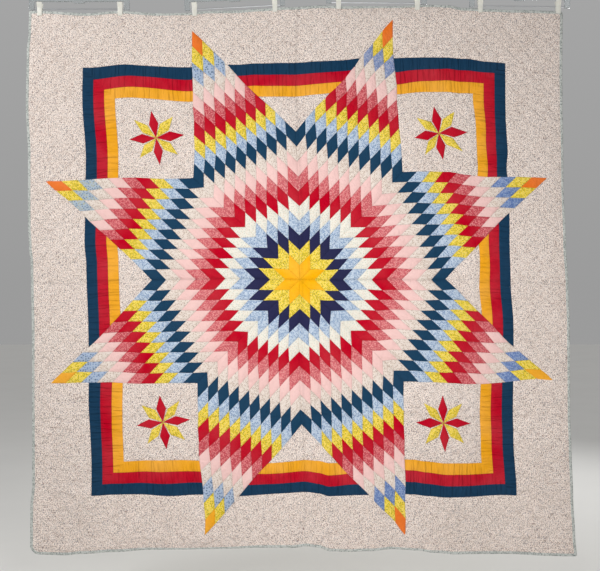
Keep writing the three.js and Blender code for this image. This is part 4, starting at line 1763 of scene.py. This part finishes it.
@dataclass(frozen=True)
class StudioSizes:
    """The camera's and the room's sizes in metres, and the room's light."""

    distance: float = 3.2
    picture: float = 2.082
    sensor_mm: float = 36.0
    aim: tuple[float, float] = (0.0, -0.025)
    floor_below: float = 0.16
    floor_half: float = 14.0
    horizon: float = 0.33
    zenith: float = 0.49
    lamps: tuple[Lamp, ...] = (
        Lamp("key", (-2.2, -1.3, 1.5), 0.9, 27.0),
        Lamp("fill", (2.1, -2.2, 0.0), 1.2, 5.0),
        Lamp("front", (0.05, -1.45, 0.0), 0.8, 12.0),
        Lamp("behind", (1.8, 2.4, 1.2), 1.2, 40.0),
    )


class Studio:
    """A pale floor, soft lights, a pale surround, and the camera."""

    def __init__(self, middle: Vector, bottom: float, sizes: StudioSizes) -> None:
        """Keeps the star's middle, the height of the lowest solid, and the sizes."""
        self.middle = middle
        self.bottom = bottom
        self.sizes = sizes

    def build(self) -> None:
        """Builds the floor, the lights, the surround and the camera."""
        self._floor()
        self._lights()
        self._surround()
        self._camera()
        bpy.context.scene.view_settings.view_transform = "Standard"

    def _floor(self) -> None:
        """The floor, below the hem."""
        half, height = self.sizes.floor_half, self.bottom - self.sizes.floor_below
        mesh = bpy.data.meshes.new("studio_floor")
        corners = [(x * half, y * half, height) for x, y in ((-1, -1), (1, -1), (1, 1), (-1, 1))]
        mesh.from_pydata(corners, [], [(0, 1, 2, 3)])
        finish = Finish("floor_paper")
        tone = finish.blend(finish.grain(3.0), linear((228, 227, 224)), linear((234, 233, 230)))
        paper = finish.close({"Base Color": tone, "Roughness": 0.85, "Specular IOR Level": 0.2})
        mesh.materials.append(paper)
        floor = put("studio_floor", mesh)

    def _lights(self) -> None:
        """A light from the upper left, weaker ones from the right and the front, one behind."""
        for row in self.sizes.lamps:
            light = bpy.data.lights.new(row.name, "AREA")
            light.shape = "RECTANGLE"
            light.size = light.size_y = row.size
            light.energy = row.power
            lamp = put(row.name, light)
            lamp.visible_transmission = False
            lamp.location = self.middle + Vector(row.offset)
            lamp.rotation_euler = (-Vector(row.offset)).to_track_quat("-Z", "Y").to_euler()

    def _surround(self) -> None:
        """An even pale glow, a little brighter overhead."""
        world = bpy.data.worlds.new("studio")
        world.use_nodes = True
        tree = world.node_tree
        way = tree.nodes.new("ShaderNodeTexCoord")
        parts = tree.nodes.new("ShaderNodeSeparateXYZ")
        tree.links.new(way.outputs["Generated"], parts.inputs[0])
        rise = Value(tree, parts.outputs["Z"]).above(0.5, 1.0)
        glow = rise * (self.sizes.zenith - self.sizes.horizon) + self.sizes.horizon
        tree.links.new(glow.socket, tree.nodes["Background"].inputs["Color"])
        bpy.context.scene.world = world

    def _camera(self) -> None:
        """The camera, square to the quilt at the photo's height."""
        s = self.sizes
        lens = bpy.data.cameras.new("camera")
        lens.sensor_fit = "HORIZONTAL"
        lens.sensor_width = s.sensor_mm
        lens.lens = s.sensor_mm * s.distance / s.picture
        camera = put("camera", lens)
        camera.location = self.middle + Vector((s.aim[0], -s.distance, s.aim[1]))
        camera.rotation_euler = (math.pi / 2, 0, 0)
        bpy.context.scene.camera = camera


def bar_middle(number: int) -> Vector:
    """The middle of a hanger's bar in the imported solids, in metres."""
    low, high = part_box(f"hanger_{number}_bar")
    return (low + high) / 2


def write_sizes() -> None:
    """Updates the view layer."""
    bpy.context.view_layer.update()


def main() -> None:
    """Builds every piece in order, then the studio."""
    logging.basicConfig(level=logging.INFO, format="%(message)s")
    x, z = HANGERS[MEASURED - 1][:2]
    shift = bar_middle(MEASURED) - Vector((x, 0, z)) * MM
    shape = HungShape(QuiltSizes(), shift)
    quilt = Quilt(shape).build()
    binding = Binding(shape).build()
    stitches = Stitching(shape, StitchSizes()).build()
    pieces = [quilt, binding, stitches]
    sizes = HangerSizes()
    finishes = {plastic: plastic.material() for plastic in Plastic}
    for n, (_, z, tilt, left, right) in enumerate(HANGERS, 1):
        hanger = Hanger(n, bar_middle(n), tilt, (left, right), sizes, finishes)
        pieces += hanger.build(sizes.seat - z)
    for piece in pieces:
        triangles = sum(len(face.vertices) - 2 for face in piece.data.polygons)
        LOG.info("%s: %d triangles", piece.name, triangles)
    write_sizes()
    Studio(shift, CAD_BOX[0].z, StudioSizes()).build()


if __name__ == "__main__":
    main()
